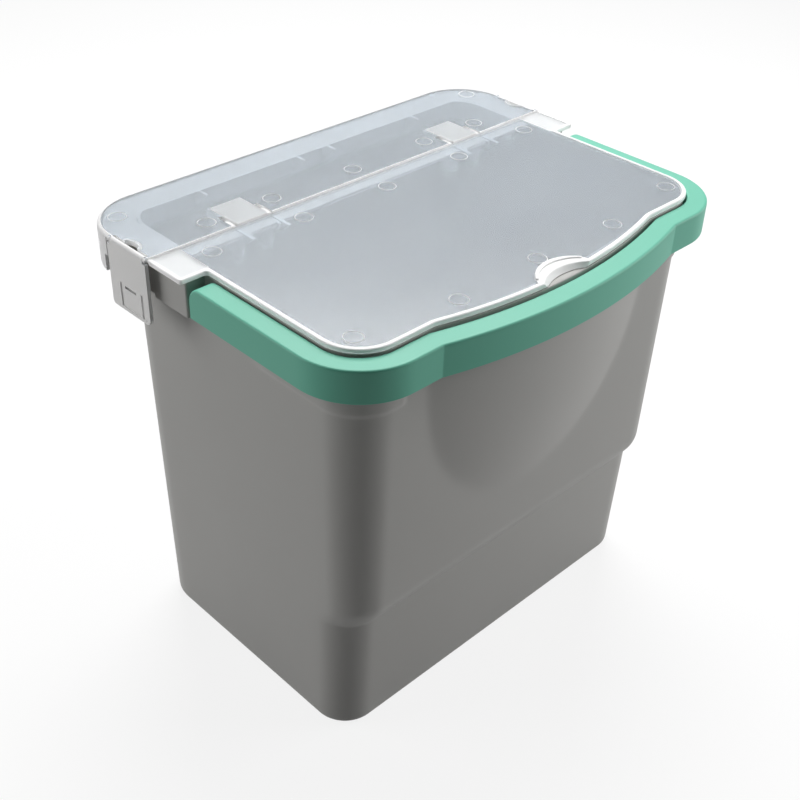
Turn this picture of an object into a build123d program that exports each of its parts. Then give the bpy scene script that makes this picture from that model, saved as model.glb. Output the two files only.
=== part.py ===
from build123d import *
import math
import os

# Bucket with a carrying handle and a two-part clip-on lid.
# Millimetres. X to the right, Y to the rear, Z up.
# The origin is the middle of the footprint, on the surface the bucket stands on.

# Tub: a tapered box whose front wall steps in near the bottom and bows out near the top
wall = 2.0
floor_thickness = 2.4
tub_height = 265.6
base_half_width = 128.8
rim_half_width = 133.3
base_front = -76.3
base_rear = 99.2
rim_front = -89.4
rim_rear = 103.7
base_edge_radius = 5.0
front_corner_base = 20.7
front_corner_rim = 25.0
rear_corner_radius = 25.5
step_height = 76.8
step_depth = 7.3
step_rise = 8.0
lower_wall_lean = 2.6

# Bow of the front wall, shared by the tub, the handle and the lid
bow_half_width = 88.5
bow_depth = 12.9
bow_height = 134.6
bow_full_drop = 25.6

# Shelf inside the bow that the flap's front edge closes on
shelf_thickness = 2.5
shelf_reach = 7.8
shelf_side_gap = 10.5

# Collar under the handle, round each front corner
collar_reach = 1.2
collar_height = 16.2
collar_rear_gap = 23.0
collar_bow_gap = 12.5
collar_gap = 0.4

# Handle: a channel, open below, that lies round the front of the tub
handle_gap = 0.6
handle_width = 12.6
handle_height = 18.5
handle_drop = 0.5
handle_corner_radius = 38.0
handle_inner_radius = 24.0
handle_end_radius = 7.0
handle_skin = 2.2
handle_rib_thickness = 1.6
handle_rib_pitch = 28.0
handle_rib_count = 7

# Pivot of the handle on each side of the tub
pivot_y = 8.0
pivot_drop = 9.1
pivot_tail = 9.1
pivot_radius = 4.0
pivot_clearance = 0.05
pivot_end_gap = 0.5
pivot_skin = 3.0
handle_hub_reach = 14.0

# Flange round the rear and the sides of the rim, a hollow band open below
flange_end_gap = 4.9
flange_reach = 8.3
flange_height = 22.1
flange_corner_radius = 30.0
flange_skin = 2.0

# Lid as a whole
lip_height = 2.7
lid_thickness = 2.0
lid_seat_gap = 0.3
lid_split = 47.2
lid_split_gap = 0.7
lid_skirt_gap = 1.5
lid_skirt_wall = 2.0
lid_edge_radius = 1.5

# Rear lid: plate, skirt outside the flange, plug rib and ledge inside the rim
skirt_height = 21.1
skirt_notch_height = 10.5
skirt_notch_length = 3.0
plug_inset = 4.0
plug_rear_inset = 3.4
plug_thickness = 1.8
plug_height = 13.2
ledge_reach = 8.7
ledge_side_gap = 1.0
ledge_drop = 0.4
ledge_thickness = 2.0
ledge_root = 2.4
gusset_places = (-82.0, -12.0, 12.0, 82.0)
gusset_thickness = 1.6
gusset_reach = 11.0

# Hinges between the two parts of the lid
hinge_places = (-82.0, 82.0)
hinge_set_back = 6.7
hinge_drop = 5.1
hinge_pin_radius = 2.0
hinge_clearance = 0.05
hood_width = 21.0
hood_length = 24.8
hood_rise = 0.6
hood_cheek = 1.8
cheek_reach = 10.5
cheek_overhang = 2.0
cheek_height = 13.1
cheek_step = 12.8
lobe_height = 18.6
lobe_front_reach = 2.9
lobe_rear_reach = 8.8
lobe_round = 2.0
lobe_neck = 7.5
ear_thickness = 2.2
ear_gap = 0.4
ear_radius = 4.6
ear_reach = 16.2
ear_toe_reach = 9.2
ear_toe_drop = 6.0
ear_slot_room = 1.5

# Front flap
flap_side_gap = 0.6
flap_front_gap = 1.2
flap_corner_radius = 21.5
flap_bow_side_gap = 13.5
flap_bow_gap = 3.8
flap_lip_thickness = 1.6
shoulder_end_gap = 1.9
shoulder_inset = 0.3
notch_half_width = 18.5
notch_depth = 9.5
notch_border = 1.8
notch_rise = 0.6

# Latches on the two sides of the rear lid
latch_length = 35.7
latch_height = 39.6
latch_thickness = 2.0
latch_split_gap = 0.35
latch_barrel_radius = 1.7
latch_pin_radius = 0.9
latch_clearance = 0.05
latch_gap = 0.4
latch_lug = 2.0
latch_proud = 0.6
latch_corner_radius = 4.0
latch_face_depth = 0.6
latch_window_length = 17.0
latch_window_height = 14.6
latch_window_margin = 1.9
latch_slot_length = 10.0
latch_slot_height = 1.6
latch_groove_length = 3.6
latch_groove_margin = 3.1
latch_hook_gap = 0.3
latch_hook_height = 4.0
arch_half_length = 5.5
arch_border = 1.6
arch_rise = 0.5

# Heights worked out from the tub's height
beyond = 2 * tub_height
bow_bottom = tub_height - bow_height
bow_full_height = tub_height - bow_full_drop
handle_top = tub_height - handle_drop
handle_bottom = handle_top - handle_height
pivot_z = handle_top - pivot_drop
collar_top = handle_bottom - collar_gap
collar_bottom = collar_top - collar_height
flange_bottom = tub_height - flange_height
lip_bottom = tub_height + lid_seat_gap
lid_top = lip_bottom + lip_height
lid_under = lid_top - lid_thickness
skirt_bottom = lid_under - skirt_height
skirt_notch_top = skirt_bottom + skirt_notch_height
plug_bottom = lid_under - plug_height
hinge_z = lid_top - hinge_drop
ledge_top = lid_under - ledge_drop
cheek_bottom = lid_under - cheek_height
lobe_bottom = lid_under - lobe_height
latch_bottom = lid_top - latch_height
latch_axis_z = lid_top - latch_barrel_radius
latch_window_bottom = latch_bottom + latch_window_margin
latch_window_top = latch_window_bottom + latch_window_height

# Places across the width, worked out from the rim outwards
handle_inner = rim_half_width + handle_gap
handle_outer = handle_inner + handle_width
flange_half_width = handle_outer
lid_half_width = flange_half_width + lid_skirt_gap + lid_skirt_wall
latch_outer = lid_half_width + latch_proud
latch_axis_x = latch_outer - latch_barrel_radius
collar_inner_end = bow_half_width + collar_bow_gap
shelf_half_width = bow_half_width - shelf_side_gap
flap_bow_half_width = bow_half_width - flap_bow_side_gap

# Places from front to rear
upper_base_front = base_front - lower_wall_lean - step_depth
bow_radius = (bow_half_width**2 + bow_depth**2) / (2 * bow_depth)
bow_centre = rim_front - bow_depth + bow_radius
shelf_apex = rim_front - bow_depth + shelf_reach
flap_apex = rim_front - bow_depth + flap_bow_gap
handle_arm_end = pivot_y + pivot_tail
handle_hub_front = pivot_y - handle_hub_reach
collar_rear_end = pivot_y - collar_rear_gap
flange_front = handle_arm_end + flange_end_gap
flange_rear = rim_rear + flange_reach
shoulder_front = handle_arm_end + shoulder_end_gap
split_front = lid_split - lid_split_gap / 2
split_rear = lid_split + lid_split_gap / 2
ledge_front = lid_split - ledge_reach
hinge_y = lid_split + hinge_set_back
hood_rear = lid_split + hood_length
cheek_front = lid_split - cheek_reach
cheek_rear = hood_rear + cheek_overhang
lobe_front = lid_split - lobe_front_reach
lobe_rear = lid_split + lobe_rear_reach
ear_front = lid_split - ear_reach
ear_toe = lid_split - ear_toe_reach
lid_rear = flange_rear + lid_skirt_gap + lid_skirt_wall
lid_corner_radius = flange_corner_radius + lid_skirt_gap + lid_skirt_wall
latch_front = split_rear + latch_split_gap
latch_rear = latch_front + latch_length
latch_groove_front = latch_front + latch_groove_margin


def block(x_range, y_range, z_range):
    """A box between two values on each axis."""
    size = [high - low for low, high in (x_range, y_range, z_range)]
    middle = [(high + low) / 2 for low, high in (x_range, y_range, z_range)]
    return Pos(*middle) * Box(*size)


def both_sides(solid):
    """The solid and its mirror image across the middle plane."""
    return solid + mirror(solid, about=Plane.YZ)


def outline(half_width, front, rear, front_radius, rear_radius):
    """A rectangle in plan with its own corner radius at the front and at the rear."""
    face = Pos(0, (front + rear) / 2) * Rectangle(2 * half_width, rear - front)
    if front_radius > 0:
        face = fillet(face.vertices().group_by(Axis.Y)[0], front_radius)
    if rear_radius > 0:
        face = fillet(face.vertices().group_by(Axis.Y)[-1], rear_radius)
    return face


def bowed(face, front, half_width, radius, centre_y):
    """The plan with a shallow round bow added to its straight front."""
    disc = Pos(0, centre_y) * Circle(radius)
    window = Pos(0, front - radius / 4 + wall) * Rectangle(2 * half_width, radius / 2)
    return face + (disc & window)


def raised(face, bottom, top):
    """The plan made solid between two heights."""
    return Pos(0, 0, bottom) * extrude(face, top - bottom)


def front_line(z):
    """Where the front wall's outer face lies at a height, step included."""
    if z <= step_height - step_rise / 2:
        return base_front - lower_wall_lean * z / step_height
    if z >= step_height + step_rise / 2:
        rise = (z - step_height) / (tub_height - step_height)
        return upper_base_front + (rim_front - upper_base_front) * rise
    low = front_line(step_height - step_rise / 2)
    high = front_line(step_height + step_rise / 2)
    share = (z - step_height) / step_rise + 0.5
    return low + (high - low) * (1 - math.cos(math.pi * share)) / 2


def tub_section(z, inset, trim=0.0):
    """The tub's plan at a height, drawn in by the inset."""
    share = z / tub_height
    half_width = base_half_width + (rim_half_width - base_half_width) * share
    rear = base_rear + (rim_rear - base_rear) * share
    front_radius = front_corner_base + (front_corner_rim - front_corner_base) * share
    draw_in = inset + trim
    face = outline(
        half_width - draw_in,
        front_line(z) + draw_in,
        rear - draw_in,
        front_radius - draw_in,
        rear_corner_radius - draw_in,
    )
    return Pos(0, 0, z) * face


def tub_form(inset, bottom):
    """The tapered body with its front step and rounded foot, without the bow."""
    rounding = [math.radians(angle) for angle in (0, 30, 60, 90)]
    sections = []
    for angle in rounding:
        z = bottom + base_edge_radius * (1 - math.cos(angle))
        trim = base_edge_radius * (1 - math.sin(angle))
        sections.append(tub_section(z, inset, trim))
    for share in (-0.5, -0.25, 0.0, 0.25, 0.5):
        sections.append(tub_section(step_height + share * step_rise, inset))
    sections.append(tub_section(tub_height, inset))
    return loft(sections, ruled=True)


def bow_form(inset):
    """The bow of the front wall: arcs round one upright axis, fading out below."""
    reach_top = bow_centre - front_line(tub_height) + bow_depth - inset
    reach_full = bow_centre - front_line(bow_full_height) + bow_depth - inset
    reach_low = bow_centre - front_line(bow_bottom) - inset
    drop = bow_full_height - bow_bottom
    arc_radius = (drop**2 + (reach_full - reach_low) ** 2) / (2 * (reach_full - reach_low))
    half = drop / 2
    reach_mid = reach_full - (arc_radius - math.sqrt(arc_radius**2 - half**2))
    core = reach_low - bow_depth
    side = Polyline(
        (reach_full, bow_full_height),
        (reach_top, tub_height),
        (core, tub_height),
        (core, bow_bottom),
        (reach_low, bow_bottom),
    )
    curve = ThreePointArc(
        (reach_low, bow_bottom),
        (reach_mid, bow_full_height - half),
        (reach_full, bow_full_height),
    )
    profile = Plane.XZ * make_face(side + curve)
    turned = revolve(profile, Axis.Z, 360)
    front_face = front_line(tub_height) + bow_depth
    window = block(
        (-bow_half_width - bow_depth, bow_half_width + bow_depth),
        (rim_front - 2 * bow_depth, front_face),
        (bow_bottom, tub_height),
    )
    return Pos(0, bow_centre, 0) * turned & window


def tub_solid(inset, bottom):
    """The outer or the inner shape of the tub, bow included."""
    return tub_form(inset, bottom) + bow_form(inset)


def make_flange():
    """The hollow band round the rear and sides of the rim, closed in front."""
    outer = outline(flange_half_width, flange_front, flange_rear, 0, flange_corner_radius)
    inner = outline(
        flange_half_width - flange_skin,
        flange_front + flange_skin,
        flange_rear - flange_skin,
        0,
        flange_corner_radius - flange_skin,
    )
    band = raised(outer, flange_bottom, tub_height)
    band -= raised(inner, flange_bottom, tub_height - flange_skin)
    return band - tub_solid(0.0, 0.0)


def collar():
    """The slightly proud strip of wall under the handle, at both front corners."""
    plan = outline(
        rim_half_width + collar_reach,
        front_line(collar_top) - collar_reach,
        rim_rear,
        front_corner_rim + collar_reach,
        rear_corner_radius,
    )
    lower = Pos(0, 0, collar_bottom - collar_reach) * tub_section(collar_bottom, 0).moved(
        Location((0, 0, -collar_bottom))
    )
    upper = Pos(0, 0, collar_bottom + collar_reach) * plan
    top = Pos(0, 0, collar_top) * plan
    strip = loft([lower, upper, top], ruled=True)
    corner = block(
        (-handle_outer, -collar_inner_end),
        (rim_front - bow_depth, collar_rear_end),
        (collar_bottom - collar_reach, collar_top),
    )
    return strip & both_sides(corner)


def rim_shelf():
    """The shelf inside the bow, under the front edge of the flap."""
    disc = Pos(0, bow_centre) * Circle(bow_radius - wall / 2)
    depth = rim_front + wall - shelf_apex
    inner_radius = (shelf_half_width**2 + depth**2) / (2 * depth)
    opening = Pos(0, shelf_apex + inner_radius) * Circle(inner_radius)
    front = rim_front - bow_depth
    rear = rim_front + wall
    window = Pos(0, (front + rear) / 2) * Rectangle(2 * shelf_half_width, rear - front)
    shelf = (disc & window) - opening
    return raised(shelf, tub_height - shelf_thickness, tub_height)


def pivot_stubs():
    """The round stubs on the sides of the tub that carry the handle."""
    length = handle_outer - pivot_skin - pivot_end_gap - rim_half_width + wall
    stub = Rot(0, 90, 0) * Cylinder(pivot_radius, length)
    return both_sides(Pos(rim_half_width - wall + length / 2, pivot_y, pivot_z) * stub)


def make_tub():
    """The grey tub without its flange, which is a piece of its own round the rim."""
    outside = tub_solid(0.0, 0.0) + collar() + pivot_stubs()
    return outside - tub_solid(wall, floor_thickness) + rim_shelf()


def handle_plan(offset_out, offset_in, rear):
    """The handle seen from above, drawn in from outside and from inside."""
    reach = handle_gap + handle_width - offset_out
    outer = outline(
        rim_half_width + reach, rim_front - reach, rear, handle_corner_radius - offset_out, 0
    )
    outer = bowed(outer, rim_front - reach, bow_half_width, bow_radius + reach, bow_centre)
    gap = handle_gap + offset_in
    corner = handle_inner_radius + offset_in
    inner = outline(rim_half_width + gap, rim_front - gap, beyond, corner, 0)
    inner = bowed(inner, rim_front - gap, bow_half_width, bow_radius + gap, bow_centre)
    return outer - inner


def make_handle():
    """The green carrying handle."""
    body = raised(handle_plan(0, 0, handle_arm_end), handle_bottom, handle_top)
    ends = body.edges().filter_by(Axis.X).group_by(Axis.Y)[-1].group_by(Axis.Z)[-1]
    body = fillet(ends, handle_end_radius)
    hollow = raised(
        handle_plan(handle_skin, handle_skin, handle_hub_front),
        handle_bottom,
        handle_top - handle_skin,
    )
    half = handle_rib_thickness / 2
    for number in range(handle_rib_count):
        place = (number - (handle_rib_count - 1) / 2) * handle_rib_pitch
        hollow -= block(
            (place - half, place + half),
            (rim_front - 2 * handle_width - bow_depth, rim_front),
            (handle_bottom + handle_skin, handle_top),
        )
    bore_length = handle_width - pivot_skin
    bore = Rot(0, 90, 0) * Cylinder(pivot_radius + pivot_clearance, bore_length)
    bores = both_sides(Pos(handle_inner + bore_length / 2, pivot_y, pivot_z) * bore)
    return body - hollow - bores


def flap_plan(inset):
    """The front flap seen from above, drawn in by the inset."""
    half_width = rim_half_width - flap_side_gap - inset
    front = rim_front + flap_front_gap + inset
    main = outline(half_width, front, split_front, flap_corner_radius - inset, 0)
    depth = front - flap_apex - inset
    radius = (flap_bow_half_width**2 + depth**2) / (2 * depth)
    main = bowed(main, front, flap_bow_half_width, radius, flap_apex + inset + radius)
    shoulder = outline(
        lid_half_width - shoulder_inset - inset, shoulder_front + inset, split_front, 0, 0
    )
    return main + shoulder


def notch_disc(radius_extra):
    """The round finger notch in the flap's front edge."""
    radius = (notch_half_width**2 + notch_depth**2) / (2 * notch_depth)
    centre = flap_apex + notch_depth - radius
    return Pos(0, centre) * Circle(radius + radius_extra)


def ear_profile():
    """A hinge ear seen from the side: a disc round the pin, joined to the plate."""
    disc = Pos(hinge_y, hinge_z) * Circle(ear_radius)
    web = make_face(
        Polyline(
            (hinge_y, hinge_z - ear_radius),
            (hinge_y, hinge_z + ear_radius),
            (split_front, lid_top),
            (ear_front, lid_top),
            (ear_front, lid_under),
            (ear_toe, lid_under - ear_toe_drop),
            (hinge_y, hinge_z - ear_radius),
        )
    )
    return disc + web


def side_profile(profile, x_low, x_high):
    """A profile drawn in Y and Z, made solid between two values of X."""
    placed = Plane.YZ * profile
    return Pos(x_low, 0, 0) * extrude(placed, x_high - x_low)


def ear_spans(place):
    """The two stretches of X taken by the ears of one hinge."""
    near = hood_width / 2 + ear_gap
    far = near + ear_thickness
    return ((place - far, place - near), (place + near, place + far))


def make_flap():
    """The clear front flap with its hinge ears."""
    plate = raised(flap_plan(0.0), lid_under, lid_top)
    lip = raised(flap_plan(0.0) - flap_plan(flap_lip_thickness), lip_bottom, lid_under)
    back = split_front - flap_lip_thickness
    lip -= block(
        (-rim_half_width + wall, rim_half_width - wall), (back, split_rear), (0, lid_under)
    )
    border = notch_disc(notch_border) & flap_plan(0.0)
    flap = plate + lip + raised(border, lip_bottom, lid_top + notch_rise)
    flap -= raised(notch_disc(0.0), 0, beyond)
    undercut = make_face(
        Polyline(
            (split_front, lid_top),
            (split_front - 2 * lid_thickness, lid_top - 2 * lid_thickness),
            (split_front + lid_thickness, lid_top - 2 * lid_thickness),
            (split_front, lid_top),
        )
    )
    flap -= side_profile(undercut, -beyond, beyond)
    for place in hinge_places:
        for low, high in ear_spans(place):
            flap += side_profile(ear_profile(), low, high)
        cheek_outer = hood_width / 2
        pin_length = ear_gap + hood_cheek
        pin = Rot(0, 90, 0) * Cylinder(hinge_pin_radius, pin_length)
        middle = cheek_outer + ear_gap - pin_length / 2
        for side in (-1, 1):
            flap += Pos(place + side * middle, hinge_y, hinge_z) * pin
    return flap


def lid_plan(inset):
    """The rear lid seen from above, drawn in by the inset."""
    return outline(
        lid_half_width - inset,
        split_rear,
        lid_rear - inset,
        0,
        lid_corner_radius - inset,
    )


def plug_rib():
    """The rib under the rear lid that keeps it inside the rim."""
    half_width = rim_half_width - plug_inset
    rear = rim_rear - plug_rear_inset
    radius = rear_corner_radius - plug_inset
    outer = outline(half_width, split_rear, rear, 0, radius)
    inner = outline(
        half_width - plug_thickness, 0, rear - plug_thickness, 0, radius - plug_thickness
    )
    rib = raised(outer - inner, plug_bottom, lid_under)
    for place in gusset_places:
        profile = make_face(
            Polyline(
                (rear - plug_thickness / 2, plug_bottom),
                (rear - plug_thickness / 2, lid_under),
                (rear - plug_thickness - gusset_reach, lid_under),
                (rear - plug_thickness / 2, plug_bottom),
            )
        )
        half = gusset_thickness / 2
        rib += side_profile(profile, place - half, place + half)
    return rib


def seat_bead():
    """The bead under the rear lid that bears on the rim of the tub."""
    outer = outline(rim_half_width, split_rear, rim_rear, 0, rear_corner_radius)
    inner = outline(rim_half_width - wall, 0, rim_rear - wall, 0, rear_corner_radius - wall)
    return raised(outer - inner, lip_bottom, lid_under)


def ledge():
    """The ledge of the rear lid that the flap's rear edge lies over."""
    half_width = rim_half_width - wall - ledge_side_gap
    strip = block(
        (-half_width, half_width),
        (ledge_front, split_rear + ledge_root),
        (ledge_top - ledge_thickness, ledge_top),
    )
    root = block(
        (-half_width, half_width),
        (split_rear, split_rear + ledge_root),
        (ledge_top - ledge_thickness, lid_under),
    )
    return strip + root


def cheek_profile():
    """A cheek of a hinge seen from the side, with its lobe hanging below the pin."""
    return make_face(
        Polyline(
            (cheek_rear, lid_under),
            (cheek_rear, cheek_bottom),
            (lid_split + cheek_step, cheek_bottom),
            (lobe_rear, lobe_bottom),
            (lobe_front + lobe_round, lobe_bottom),
            (lobe_front, lobe_bottom + 2 * lobe_round),
            (lobe_front, lobe_bottom + lobe_neck),
            (cheek_front, ledge_top - ledge_thickness),
            (cheek_front, ledge_top),
            (split_rear, ledge_top),
            (split_rear, lid_under),
            (cheek_rear, lid_under),
        )
    )


def hood(place):
    """The raised hood over one hinge, with its two cheeks."""
    half = hood_width / 2
    width = (place - half, place + half)
    roof = block(width, (split_rear, hood_rear), (lid_under, lid_top + hood_rise))
    left = side_profile(cheek_profile(), place - half, place - half + hood_cheek)
    right = side_profile(cheek_profile(), place + half - hood_cheek, place + half)
    return roof + left + right


def arch_plan(extra):
    """The half-round opening in the lid beside a latch, with its middle on the edge."""
    length = latch_rear - latch_front
    return Pos(latch_axis_x - latch_barrel_radius - latch_gap, latch_front + length / 2) * Ellipse(
        arch_half_length / 2 + extra, arch_half_length + extra
    )


def make_rear_lid():
    """The clear rear lid."""
    plate = raised(lid_plan(0.0), lid_under, lid_top)
    skirt = raised(lid_plan(0.0) - lid_plan(lid_skirt_wall), skirt_bottom, lid_under)
    skirt_start = latch_rear + latch_gap
    front_gap = ((-beyond, beyond), (0, skirt_start), (0, lid_under))
    low_gap = ((-beyond, beyond), (0, skirt_start + skirt_notch_length), (0, skirt_notch_top))
    skirt = skirt - block(*front_gap) - block(*low_gap)
    shell = plate + skirt
    top_edges = shell.edges().group_by(Axis.Z)[-1]
    rounded = top_edges.filter_by(lambda edge: edge.center().Y > split_rear + wall)
    shell = fillet(rounded, lid_edge_radius)
    lid = shell + plug_rib() + seat_bead() + ledge()
    for place in hinge_places:
        lid += hood(place)
    for place in hinge_places:
        for low, high in ear_spans(place):
            lid -= block(
                (low - ear_gap, high + ear_gap),
                (0, hinge_y + lid_top - hinge_z + ear_slot_room),
                (0, beyond),
            )
    bore = Rot(0, 90, 0) * Cylinder(hinge_pin_radius + hinge_clearance, hood_width)
    for place in hinge_places:
        lid -= Pos(place, hinge_y, hinge_z) * bore
    return lid + latch_lugs() - latch_room()


def latch_room():
    """What the rear lid leaves free for the two latch barrels and the arches."""
    inner = latch_axis_x - latch_barrel_radius - latch_gap
    barrel = block(
        (inner, beyond),
        (latch_front + latch_lug + latch_gap, latch_rear - latch_lug - latch_gap),
        (0, beyond),
    )
    length = latch_rear - latch_front + 2
    bore = Rot(90, 0, 0) * Cylinder(latch_pin_radius + latch_clearance, length)
    bore = Pos(latch_axis_x, (latch_front + latch_rear) / 2, latch_axis_z) * bore
    return both_sides(barrel + raised(arch_plan(0.0), 0, beyond) + bore)


def latch_lugs():
    """The lugs at the lid's side edges that carry the latch pins, and the arches."""
    lug = Rot(90, 0, 0) * Cylinder(latch_barrel_radius, latch_lug)
    lugs = Part()
    for y in (latch_front + latch_lug / 2, latch_rear - latch_lug / 2):
        lugs += Pos(latch_axis_x, y, latch_axis_z) * lug
    arch = raised(arch_plan(arch_border), lid_under, lid_top + arch_rise)
    keep = block((0, latch_axis_x - latch_barrel_radius - latch_gap), (0, beyond), (0, beyond))
    return both_sides(lugs + (arch & keep))


def make_latch():
    """The right latch: a panel hanging from a barrel, with a hook inside."""
    inner = latch_outer - latch_thickness
    middle = (latch_front + latch_rear) / 2
    profile = Pos(middle, (latch_bottom + latch_axis_z) / 2) * Rectangle(
        latch_rear - latch_front, latch_axis_z - latch_bottom
    )
    profile = fillet(profile.vertices().group_by(Axis.Y)[0], latch_corner_radius)
    panel = side_profile(profile, inner, latch_outer)
    for start in (latch_front, latch_rear - latch_lug):
        panel -= block(
            (0, beyond),
            (start - latch_gap, start + latch_lug + latch_gap),
            (latch_axis_z - latch_barrel_radius - latch_gap, beyond),
        )
    barrel_length = latch_rear - latch_front - 2 * (latch_lug + latch_gap)
    barrel = Rot(90, 0, 0) * Cylinder(latch_barrel_radius, barrel_length)
    pin = Rot(90, 0, 0) * Cylinder(latch_pin_radius, latch_rear - latch_front - latch_lug)
    latch = panel + Pos(latch_axis_x, middle, latch_axis_z) * (barrel + pin)
    face = latch_outer - latch_face_depth
    half_window = latch_window_length / 2
    half_slot = latch_slot_length / 2
    latch -= block(
        (face, beyond),
        (middle - half_window, middle + half_window),
        (latch_window_bottom, latch_window_top),
    )
    latch -= block(
        (face, beyond),
        (latch_groove_front, latch_groove_front + latch_groove_length),
        (latch_window_bottom, latch_window_top),
    )
    latch -= block(
        (0, beyond),
        (middle - half_slot, middle + half_slot),
        (latch_window_top - 2 * latch_slot_height, latch_window_top - latch_slot_height),
    )
    hook_top = latch_window_top - 2 * latch_slot_height
    hook = block(
        (flange_half_width + latch_hook_gap, inner + latch_face_depth),
        (middle - half_slot, middle + half_slot),
        (hook_top - latch_hook_height, hook_top),
    )
    return latch + hook


os.makedirs("parts", exist_ok=True)
right_latch = make_latch()
pieces = {
    "bucket_tub": make_tub(),
    "rim_flange": make_flange(),
    "carry_handle": make_handle(),
    "rear_lid": make_rear_lid(),
    "front_flap": make_flap(),
    "latch_right": right_latch,
    "latch_left": mirror(right_latch, about=Plane.YZ),
}
for name, solid in pieces.items():
    export_step(solid, os.path.join("parts", name + ".step"))
    box = solid.bounding_box()
    print(name, len(solid.solids()), round(solid.volume / 1000, 1), box.min, box.max)
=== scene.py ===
# %% [markdown]
# # A household bucket, dressed for its portrait
#
# The bucket is six plastic mouldings: a grey tub, a mint green handle, a frosted lid
# in two halves joined by snap hinges, and two frosted latches. This lesson builds the
# visible surface of each one as a clean mesh round a fixed frame that already says how
# large the pieces are and how they move.

# %% Load the frame
import math

import bmesh
import bpy
from mathutils import Matrix, Vector


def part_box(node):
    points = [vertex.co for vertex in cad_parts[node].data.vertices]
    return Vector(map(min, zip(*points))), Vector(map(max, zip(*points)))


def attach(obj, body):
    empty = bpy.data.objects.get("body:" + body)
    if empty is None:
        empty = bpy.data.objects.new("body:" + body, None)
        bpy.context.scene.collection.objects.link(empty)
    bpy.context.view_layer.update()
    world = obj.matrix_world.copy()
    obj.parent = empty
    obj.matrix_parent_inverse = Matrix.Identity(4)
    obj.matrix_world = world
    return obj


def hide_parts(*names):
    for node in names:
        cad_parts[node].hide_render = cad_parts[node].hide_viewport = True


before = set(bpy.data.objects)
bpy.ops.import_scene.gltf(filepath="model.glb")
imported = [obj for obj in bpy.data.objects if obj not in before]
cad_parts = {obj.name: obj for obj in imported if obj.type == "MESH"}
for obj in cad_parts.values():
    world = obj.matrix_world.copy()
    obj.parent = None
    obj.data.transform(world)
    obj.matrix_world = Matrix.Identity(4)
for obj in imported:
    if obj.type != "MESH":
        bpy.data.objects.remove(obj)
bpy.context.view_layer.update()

# %% [markdown]
# The outer limits are read from the frame, so the dressed pieces stay in step with the
# solids behind them. Everything finer is a named size in metres, given where it is used.
# A hair is the smallest gap, and keeps two faces from lying in one place.

# %% Sizes that several pieces share
tub_low, tub_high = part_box("bucket_tub")
handle_low, handle_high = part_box("carry_handle")
lid_low, lid_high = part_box("rear_lid")
latch_low, latch_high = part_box("latch_right")

hair = 0.00005
wall = 0.0020
tub_height = tub_high.z
rim_half_width = 0.1333
rim_rear = 0.1037
bow_depth = 0.0129
bow_half_width = 0.0885
rim_front = tub_low.y + bow_depth
bow_radius = (bow_half_width**2 + bow_depth**2) / (2 * bow_depth)
bow_centre = rim_front - bow_depth + bow_radius
print("rim front", round(rim_front, 4), "bow radius", round(bow_radius, 3))

# %% [markdown]
# The camera stands where the photograph was taken from: to the left of the front and
# above it, with a slight roll. Its place was solved from the straight edges of the real
# object, so it is given as a position and three angles.

# %% Camera
camera_place = Vector((-0.43593, -0.41718, 0.56561))
camera_azimuth = math.radians(-45.30)
camera_elevation = math.radians(35.43)
camera_roll = math.radians(2.03)
camera_lens = 54.61

back = Vector(
    (
        math.sin(camera_azimuth) * math.cos(camera_elevation),
        -math.cos(camera_azimuth) * math.cos(camera_elevation),
        math.sin(camera_elevation),
    )
)
level_right = Vector((math.cos(camera_azimuth), math.sin(camera_azimuth), 0))
level_up = back.cross(level_right)
camera_right = level_right * math.cos(camera_roll) + level_up * math.sin(camera_roll)
camera_up = level_up * math.cos(camera_roll) - level_right * math.sin(camera_roll)

camera_data = bpy.data.cameras.new("portrait_camera")
camera_data.lens = camera_lens
camera_data.sensor_width = 36
camera_data.sensor_fit = "HORIZONTAL"
camera_data.clip_start = 0.01
camera = bpy.data.objects.new("portrait_camera", camera_data)
turn = Matrix((camera_right, camera_up, back)).transposed().to_4x4()
camera.matrix_world = Matrix.Translation(camera_place) @ turn
bpy.context.scene.collection.objects.link(camera)
bpy.context.scene.camera = camera
print("camera looks along", [round(-value, 3) for value in back])

# %% [markdown]
# Most of the bucket can be described by outlines: a plan drawn with corners, each with
# its own radius, that is moved inwards a little from one height to the next. A curve
# object could draw it too, but points in a list can be mitred and measured exactly. Two
# short helpers draw such a plan and move it in. Neighbouring edges share a mitred corner,
# so a plan keeps its shape when it shrinks.

# %% Outline helpers
def rounded_loop(corners, step=math.radians(7.5)):
    """A closed plan, counter-clockwise, from corners given as x, y and radius."""
    loop = []
    count = len(corners)
    for i, (x, y, radius) in enumerate(corners):
        here = Vector((x, y))
        if radius <= 0:
            loop.append(here)
            continue
        before = (Vector(corners[i - 1][:2]) - here).normalized()
        after = (Vector(corners[(i + 1) % count][:2]) - here).normalized()
        half = before.angle(after) / 2
        centre = here + (before + after).normalized() * (radius / math.sin(half))
        arm = here + before * (radius / math.tan(half)) - centre
        last = here + after * (radius / math.tan(half)) - centre
        sweep = math.atan2(arm.x * last.y - arm.y * last.x, arm.dot(last))
        steps = max(2, math.ceil(abs(sweep) / step - 1e-6))
        for k in range(steps + 1):
            angle = sweep * k / steps
            turned = (
                arm.x * math.cos(angle) - arm.y * math.sin(angle),
                arm.x * math.sin(angle) + arm.y * math.cos(angle),
            )
            loop.append(centre + Vector(turned))
    return loop


def drawn_in(loop, inset):
    """The plan moved inwards by the inset, corners mitred."""
    moved = []
    for i, here in enumerate(loop):
        a = (here - loop[i - 1]).normalized()
        b = (loop[(i + 1) % len(loop)] - here).normalized()
        first = Vector((-a.y, a.x))
        second = Vector((-b.y, b.x))
        moved.append(here + (first + second) * (inset / (1 + first.dot(second))))
    return moved


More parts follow.
